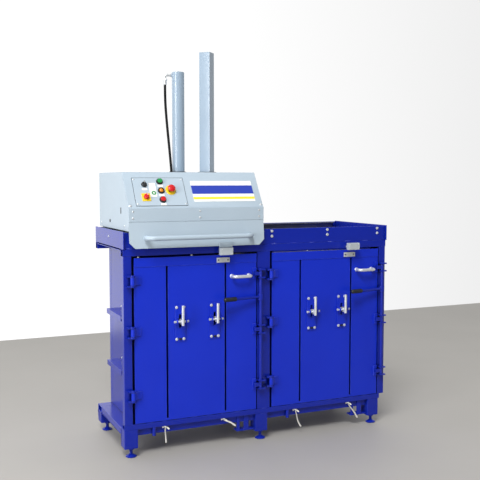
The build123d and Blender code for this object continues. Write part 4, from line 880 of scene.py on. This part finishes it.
def makeFeet(look):
    # thread: r(h) = stem + deep cos(2 pi h / pitch)
    places = [(x, y, 0.0) for x in look["xs"] for y in look["ys"]]
    h = np.linspace(look["threadFrom"], look["threadTo"], 110)
    r = look["stem"] + look["threadDeep"] * np.cos(2 * np.pi * h / look["pitch"])
    profile = [*look["disc"], *zip(r.tolist(), h.tolist()), (0, look["threadTo"])]
    discs = turned(profile, places, upwards, steps=36)
    nuts = turned(look["nut"], places, upwards, steps=36, outline=hexagon)
    feet = makePiece("levellingFeetTurned", joined([discs, nuts]), "chassis", "blueFrame")
    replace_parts(feet, "levelling_feet")


# fasteners and small plates of the doors: places in metres for the left door, sizes and offsets in mm
doorLook = {
    "claws": {"outer": -0.49025, "inner": -0.29325}, "clawHeight": 0.707, "clawFace": -0.23865,
    "clawBolts": ((-20, 73), (20, 73), (-20, -96), (20, -96)), "axleY": -0.25865, "axleHalf": 37.0,
    "pad": (0.0, -96.0), "padPlate": ((15.0, 10.0), 3.0, 6.0, 1.5),
    "switch": (-0.245, -0.24065, 1.021), "switchPlate": ((76.0, 26.0), 2.0, 1.2, 0.4), "switchScrews": 27.0,
    "box": (-0.245, -0.29365, 1.071), "lid": ((70.0, 36.0), 3.0, 1.6, 0.8), "lidScrews": (29.0, 12.0),
}


def makeDoorDetails(side, look):
    shift = rightWays * sideShift[side]
    leaf = side + "_door_leaf"
    places = []
    pads = []
    for name, x in look["claws"].items():
        spot = np.array([x, look["clawFace"], look["clawHeight"]]) + shift
        places += [spot + np.array([dx, 0, dz]) * mm for dx, dz in look["clawBolts"]]
        pad = spot + np.array([look["pad"][0], 0, look["pad"][1]]) * mm
        pads.append(plate(pad, rightWays, upwards, *look["padPlate"]))
        axle = np.array([x, look["axleY"], look["clawHeight"]]) + shift
        retainer = side + "_" + name + "_retainer"
        for way, word in ((1, "Right"), (-1, "Left")):
            end = axle + rightWays * way * look["axleHalf"] * mm
            bolt = side + name.title() + "Axle" + word
            putFasteners(bolt, boltLook, retainer, [end], rightWays * way, scale=0.85)
    putFasteners(side + "ClawPlateBolts", boltLook, leaf, places, outwards, scale=0.9)
    makePiece(side + "ClawPads", joined(pads), leaf, "blackPlastic")
    spot = np.array(look["switch"]) + shift
    switchPlate = plate(spot, rightWays, upwards, *look["switchPlate"])
    makePiece(side + "SwitchPlate", switchPlate, leaf, "zinc")
    seat = outwards * look["switchPlate"][2]
    ends = [spot + (rightWays * way * look["switchScrews"] + seat) * mm for way in (-1, 1)]
    putFasteners(side + "SwitchPlateScrews", screwLook, leaf, ends, outwards, scale=0.9, finish="rail")
    spot = np.array(look["box"]) + shift
    lid = plate(spot, rightWays, upwards, *look["lid"])
    makePiece(side + "SwitchLid", lid, "chassis", "greyPlastic")
    seat = outwards * look["lid"][2]
    wide, high = look["lidScrews"]
    corners = [spot + (rightWays * x + upwards * z + seat) * mm for x in (-wide, wide) for z in (-high, high)]
    putFasteners(side + "SwitchLidScrews", screwLook, "chassis", corners, outwards, scale=0.45)


for side in sideShift:
    makeGrab(side, grabLook)
    makeGrip(side, gripLook)
    makeDoorDetails(side, doorLook)
makeFeet(footLook)
print("stage: door details and feet")

# fasteners of the frame and the head: places in metres, plates and profiles in mm
frameLook = {
    "rimFace": -0.23065, "rimHeights": (1.168, 1.140), "rimOffsets": (-0.344, 0.008, 0.344),
    "middles": (-0.395, 0.395), "endPlate": [(-0.797, 0.040, 1.147)],
    "trayFace": -0.723, "trayMiddle": -0.0237, "trayHeights": (0.455, 0.742),
    "trayBolts": (-0.090, 0.090), "trayRise": 0.014,
    "strip": (-0.395, -0.26565, 1.2702), "stripPlate": ((754.6, 68.8), 1.0, 1.8, 0.5),
    "stripXs": (-0.750, -0.387, -0.045), "stripHeights": (1.288, 1.254),
    "slopeCorners": ((-366.0, 12.0), (366.0, 12.0)),  # mm, on the slope
    "coverSides": {"Left": (-1, -0.773), "Right": (1, -0.017)},  # which way each faces, and its X
    "coverYs": (-0.190, 0.290), "coverHeight": 1.212,
    "coverRear": 0.33635, "coverXs": (-0.740, -0.395, -0.050),
    "latch": (-0.773, -0.12165, 1.290), "latchPlate": ((10.0, 32.0), 2.0, 1.5, 0.6),
    "plugPlace": (-0.773, 0.100, 1.228), "plug": ((9.0, 0), (9.0, 1.0), (7.6, 2.4), (0, 2.8)),
}


def makeFasteners(look):
    columns = [x + offset for x in look["middles"] for offset in look["rimOffsets"]]
    rim = [(x, look["rimFace"], z) for x in columns for z in look["rimHeights"]]
    putFasteners("rimBolts", boltLook, "chassis", rim, outwards, scale=0.9)
    putFasteners("endPlateBolt", boltLook, "chassis", look["endPlate"], -rightWays, scale=0.8)
    rows = [look["trayMiddle"] + y for y in look["trayBolts"]]
    trays = [(look["trayFace"], y, z + look["trayRise"]) for y in rows for z in look["trayHeights"]]
    putFasteners("trayBolts", boltLook, "chassis", trays, -rightWays, scale=0.8)
    strip = plate(look["strip"], rightWays, upwards, *look["stripPlate"])
    makePiece("apronStrip", strip, "head", "grey")
    face = look["strip"][1] - look["stripPlate"][2] * mm
    apron = [(x, face, z) for x in look["stripXs"] for z in look["stripHeights"]]
    putFasteners("apronScrews", screwLook, "head", apron, outwards)
    slope = [onSlope(*place) for place in look["slopeCorners"]]
    putFasteners("slopeBolts", boltLook, "head", slope, slopeOut, scale=0.8)
    latch = plate(look["latch"], outwards, upwards, *look["latchPlate"])
    makePiece("coverLatch", latch, "head", "blackPlastic")
    plug = turned(look["plug"], [look["plugPlace"]], -rightWays, steps=32)
    makePiece("coverPlug", plug, "head", "blackPlastic")
    for word, (way, x) in look["coverSides"].items():
        places = [(x, y, look["coverHeight"]) for y in look["coverYs"]]
        putFasteners("coverScrews" + word, screwLook, "head", places, rightWays * way)
    rear = [(x, look["coverRear"], look["coverHeight"]) for x in look["coverXs"]]
    putFasteners("coverScrewsRear", screwLook, "head", rear, rearwards)


# weld beads: short runs where the rim plate stands on the beam and along the sill, laid in ripples
beadLook = {
    "length": 34.0, "ripple": 2.6, "rippleShare": 0.1, "bluntness": 8, "tip": 1.001,  # mm and shares
    "rows": {  # metres, radius in mm
        "rimWeldBeads": {"y": -0.2312, "z": 1.0978, "radius": 3.0, "spacing": 0.118, "span": (-0.76, 0.76)},
        "sillWeldBeads": {"y": -0.2326, "z": 0.1772, "radius": 2.2, "spacing": 0.083, "span": (-0.74, 0.74)},
    },
}


def makeBeads(name, row, look):
    # P(s, v) = start + s x + r(s) (cos v out + sin v up),
    # r(s) = r0 (tip - (2s/L)^bluntness) (1 + share sin(2 pi s / ripple))
    s = np.linspace(-1, 1, 57) * look["length"] / 2
    v = np.linspace(0, 2 * np.pi, 12, endpoint=False)
    swell = look["tip"] - (2 * s / look["length"]) ** look["bluntness"]
    r = row["radius"] * swell * (1 + look["rippleShare"] * np.sin(2 * np.pi * s / look["ripple"]))
    ring = np.cos(v)[:, None] * outwards + np.sin(v)[:, None] * upwards
    shape = (s[:, None, None] * rightWays + r[:, None, None] * ring[None]) * mm
    faces = gridFaces(len(s), len(v), True)
    starts = np.arange(*row["span"], row["spacing"])
    runs = [(np.array([x, row["y"], row["z"]]) + shape, faces) for x in starts]
    makePiece(name, joined(runs), "chassis", "blueFrame")


# hydraulics above the roof: crimped ferrule with its union nut, cap disc and bleed plug on the cylinder
pipeLook = {
    "ferrule": (-0.4706, 0.04605, 1.972), "barrelTop": (-0.395, 0.04605, 2.042),  # metres
    "crimps": (4.0, 10.0, 16.0), "crimp": ((9.3, -1.6), (10.0, -1.1), (10.0, 1.1), (9.3, 1.6)),  # mm
    "nut": ((9.0, 20.5), (10.6, 20.5), (11.2, 21.4), (11.2, 29.6), (10.6, 30.5), (9.0, 30.5)),
    "cap": ((33.0, 0), (33.0, 1.0), (31.6, 2.0), (0, 2.0)), "capThick": 2.0,
    "bleedPlug": ((7.0, 0), (7.0, 5.0), (6.2, 6.0), (0, 6.0)),
}


def makePipeDetails(look):
    spot = np.array(look["ferrule"])
    crimps = turned(look["crimp"], [spot + upwards * h * mm for h in look["crimps"]], upwards, steps=28)
    nut = turned(look["nut"], [spot], upwards, steps=36, outline=hexagon)
    makePiece("ferruleCrimps", joined([crimps, nut]), "head", "zinc")
    top = np.array(look["barrelTop"])
    seat = top + upwards * look["capThick"] * mm
    plug = turned(look["bleedPlug"], [seat], upwards, steps=36, outline=hexagon)
    makePiece("bleedPlug", plug, "head", "zinc")
    cap = turned(look["cap"], [top], upwards, steps=48)
    makePiece("barrelCapDisc", cap, "head", "tube")


# rubber seals on the roof round the cylinder, the hose and the sliding guide tube, which stands cornerwise
sealLook = {
    "roof": 1.491,  # metres
    "barrel": (-0.395, 0.04605), "hose": (-0.4436, 0.02345), "tube": (-0.2245, 0.04605),
    "barrelRing": (  # mm from here on
        (35.2, 0), (44.0, 0), (44.4, 0.8), (43.4, 3.0), (38.4, 5.0), (35.6, 5.0), (35.2, 4.4), (35.2, 0),
    ),
    "hoseRing": (
        (7.2, 0), (13.6, 0), (14.0, 0.8), (13.0, 3.0), (9.6, 5.4), (7.6, 5.4), (7.2, 4.8), (7.2, 0),
    ),
    "tubeFrame": ((0, 0), (0, 2.6), (1.4, 4.0), (7.0, 4.0), (8.0, 3.2), (8.0, 0), (0, 0)),  # inset, height
    "tubeSize": (82.0, 82.0), "tubeCorner": 4.0,
}


def makeSeals(look):
    barrel, hose, tube = (np.array([*look[key], look["roof"]]) for key in ("barrel", "hose", "tube"))
    slant = (rightWays + rearwards) / math.sqrt(2)
    seals = [
        turned(look["barrelRing"], [barrel], upwards, steps=56),
        turned(look["hoseRing"], [hose], upwards, steps=36),
        slab(tube, slant, np.cross(upwards, slant), look["tubeSize"], look["tubeCorner"], look["tubeFrame"]),
    ]
    makePiece("roofSeals", joined(seals), "head", "rubber")


makeSeals(sealLook)
makeFasteners(frameLook)
for rowName, row in beadLook["rows"].items():
    makeBeads(rowName, row, beadLook)
makePipeDetails(pipeLook)
print("stage: fasteners, beads and pipe details")

# finishes of the carried-over solids
finishes = {
    "blueFrame": ["base_frame", "front_posts", "rear_posts", "front_beam", "rear_beam", "end_plates",
                  "left_side_wall", "right_side_wall", "divider_walls", "rear_walls", "chamber_floors",
                  "hinge_brackets", "lock_bearings", "reel_trays", "left_lock_bar", "right_lock_bar"],
    "blue": ["left_door", "right_door", "left_door_fittings", "right_door_fittings"],
    "grey": ["head_cover", "front_apron", "control_panel", "press_plate", "head_carriage"],
    "tube": ["cylinder_barrel", "guide_tube"],
    "primer": ["guide_block", "hydraulic_tank", "pump_motor"],
    "zinc": ["left_outer_claw", "left_inner_claw", "right_outer_claw", "right_inner_claw", "hose_fittings"],
    "rail": ["track_rails", "left_wheelset", "right_wheelset"],
    "chrome": ["piston_rod"],
    "greyPlastic": ["head_switches", "control_enclosure"],
}
foldRadius = {  # mm, what the press brake and the grinder leave on each piece's edges
    "head_cover": 5.0, "front_apron": 0.7, "left_door": 3.0, "right_door": 3.0, "front_posts": 4.0,
    "front_beam": 2.5, "rear_beam": 2.5, "base_frame": 3.5, "rear_posts": 4.0, "guide_tube": 5.0,
    "end_plates": 1.0, "reel_trays": 1.0, "left_side_wall": 1.5, "right_side_wall": 1.5, "head_switches": 2.5,
}
foldLook = {
    "usual": 0.8, "merge": 0.02,  # mm, radius of the other pieces' edges, and corners that count as one
    "flat": 0.5, "corner": 40.0,  # degrees, below which faces are one flat, and above which edges are rounded
    "segments": 2,
}


def roundFolds(node, radiusMm, look):
    # welded corners, flats made whole, edges rounded where faces meet at a corner, rounds smooth
    weld = node.modifiers.new("mergeCorners", "WELD")
    weld.merge_threshold = look["merge"] * mm
    flat = node.modifiers.new("wholeFlats", "DECIMATE")
    flat.decimate_type = "DISSOLVE"
    flat.angle_limit = math.radians(look["flat"])
    fold = node.modifiers.new("roundFolds", "BEVEL")
    fold.width = radiusMm * mm
    fold.segments = look["segments"]
    fold.limit_method = "ANGLE"
    fold.angle_limit = math.radians(look["corner"])
    shade = node.modifiers.new("shadeByAngle", "NODES")
    shade.node_group = roundGroup
    even = node.modifiers.new("evenFlats", "WEIGHTED_NORMAL")
    even.keep_sharp = True


for finish, names in finishes.items():
    for name in names:
        nodes[name].data.materials.clear()
        nodes[name].data.materials.append(palette[finish])
        roundFolds(nodes[name], foldRadius.get(name, foldLook["usual"]), foldLook)
print("stage: carried-over solids finished")


def makeRoom(setup):
    (left, right), (front, rear) = setup["floorSpan"]
    mesh = bpy.data.meshes.new("studioFloor")
    corners = [(left, front, 0), (right, front, 0), (right, rear, 0), (left, rear, 0)]
    mesh.from_pydata(corners, [], [(0, 1, 2, 3)])
    mesh.materials.append(palette["floor"])
    floor = bpy.data.objects.new("studioFloor", mesh)
    bpy.context.scene.collection.objects.link(floor)
    world = bpy.data.worlds.new("studioAir")
    world.use_nodes = True
    tree = world.node_tree
    tree.nodes.clear()
    # white air, bright behind the press and dim before it, as a studio with one lit wall
    heading = addNode(tree, "ShaderNodeTexCoord")
    facing = addNode(tree, "ShaderNodeVectorMath", {1: setup["airWay"]}, {0: heading.outputs["Generated"]},
                     operation="DOT_PRODUCT")
    levels = {"From Min": -1.0, "From Max": 1.0, "To Min": setup["airLeast"], "To Max": setup["airMost"]}
    strength = addNode(tree, "ShaderNodeMapRange", levels, {"Value": facing.outputs["Value"]})
    air = addNode(tree, "ShaderNodeBackground", {"Color": linearColour(setup["airColour"])},
                  {"Strength": strength.outputs["Result"]})
    addNode(tree, "ShaderNodeOutputWorld", None, {"Surface": air.outputs["Background"]})
    bpy.context.scene.world = world
    target = (cadLow + cadHigh) / 2
    for name, (power, size, place) in setup["lamps"].items():
        lamp = bpy.data.lights.new(name + "Light", "AREA")
        lamp.energy = power
        lamp.shape = "RECTANGLE"
        lamp.size, lamp.size_y = size
        holder = bpy.data.objects.new(name + "Light", lamp)
        holder.location = place
        holder.rotation_euler = (target - Vector(place)).to_track_quat("-Z", "Y").to_euler()
        bpy.context.scene.collection.objects.link(holder)


def makeCamera(setup):
    lens = bpy.data.cameras.new("photoCamera")
    lens.lens = setup["lens"]
    lens.sensor_width = setup["film"]
    lens.clip_end = setup["sight"]
    camera = bpy.data.objects.new("photoCamera", lens)
    camera.location = setup["place"]
    camera.rotation_euler = (math.radians(90 + setup["pitch"]), 0, -math.radians(setup["yaw"]))
    bpy.context.scene.collection.objects.link(camera)
    bpy.context.scene.camera = camera


makeRoom(roomSetup)
makeCamera(cameraSetup)
bpy.context.scene.view_settings.view_transform = "Standard"
print("stage: room and camera")
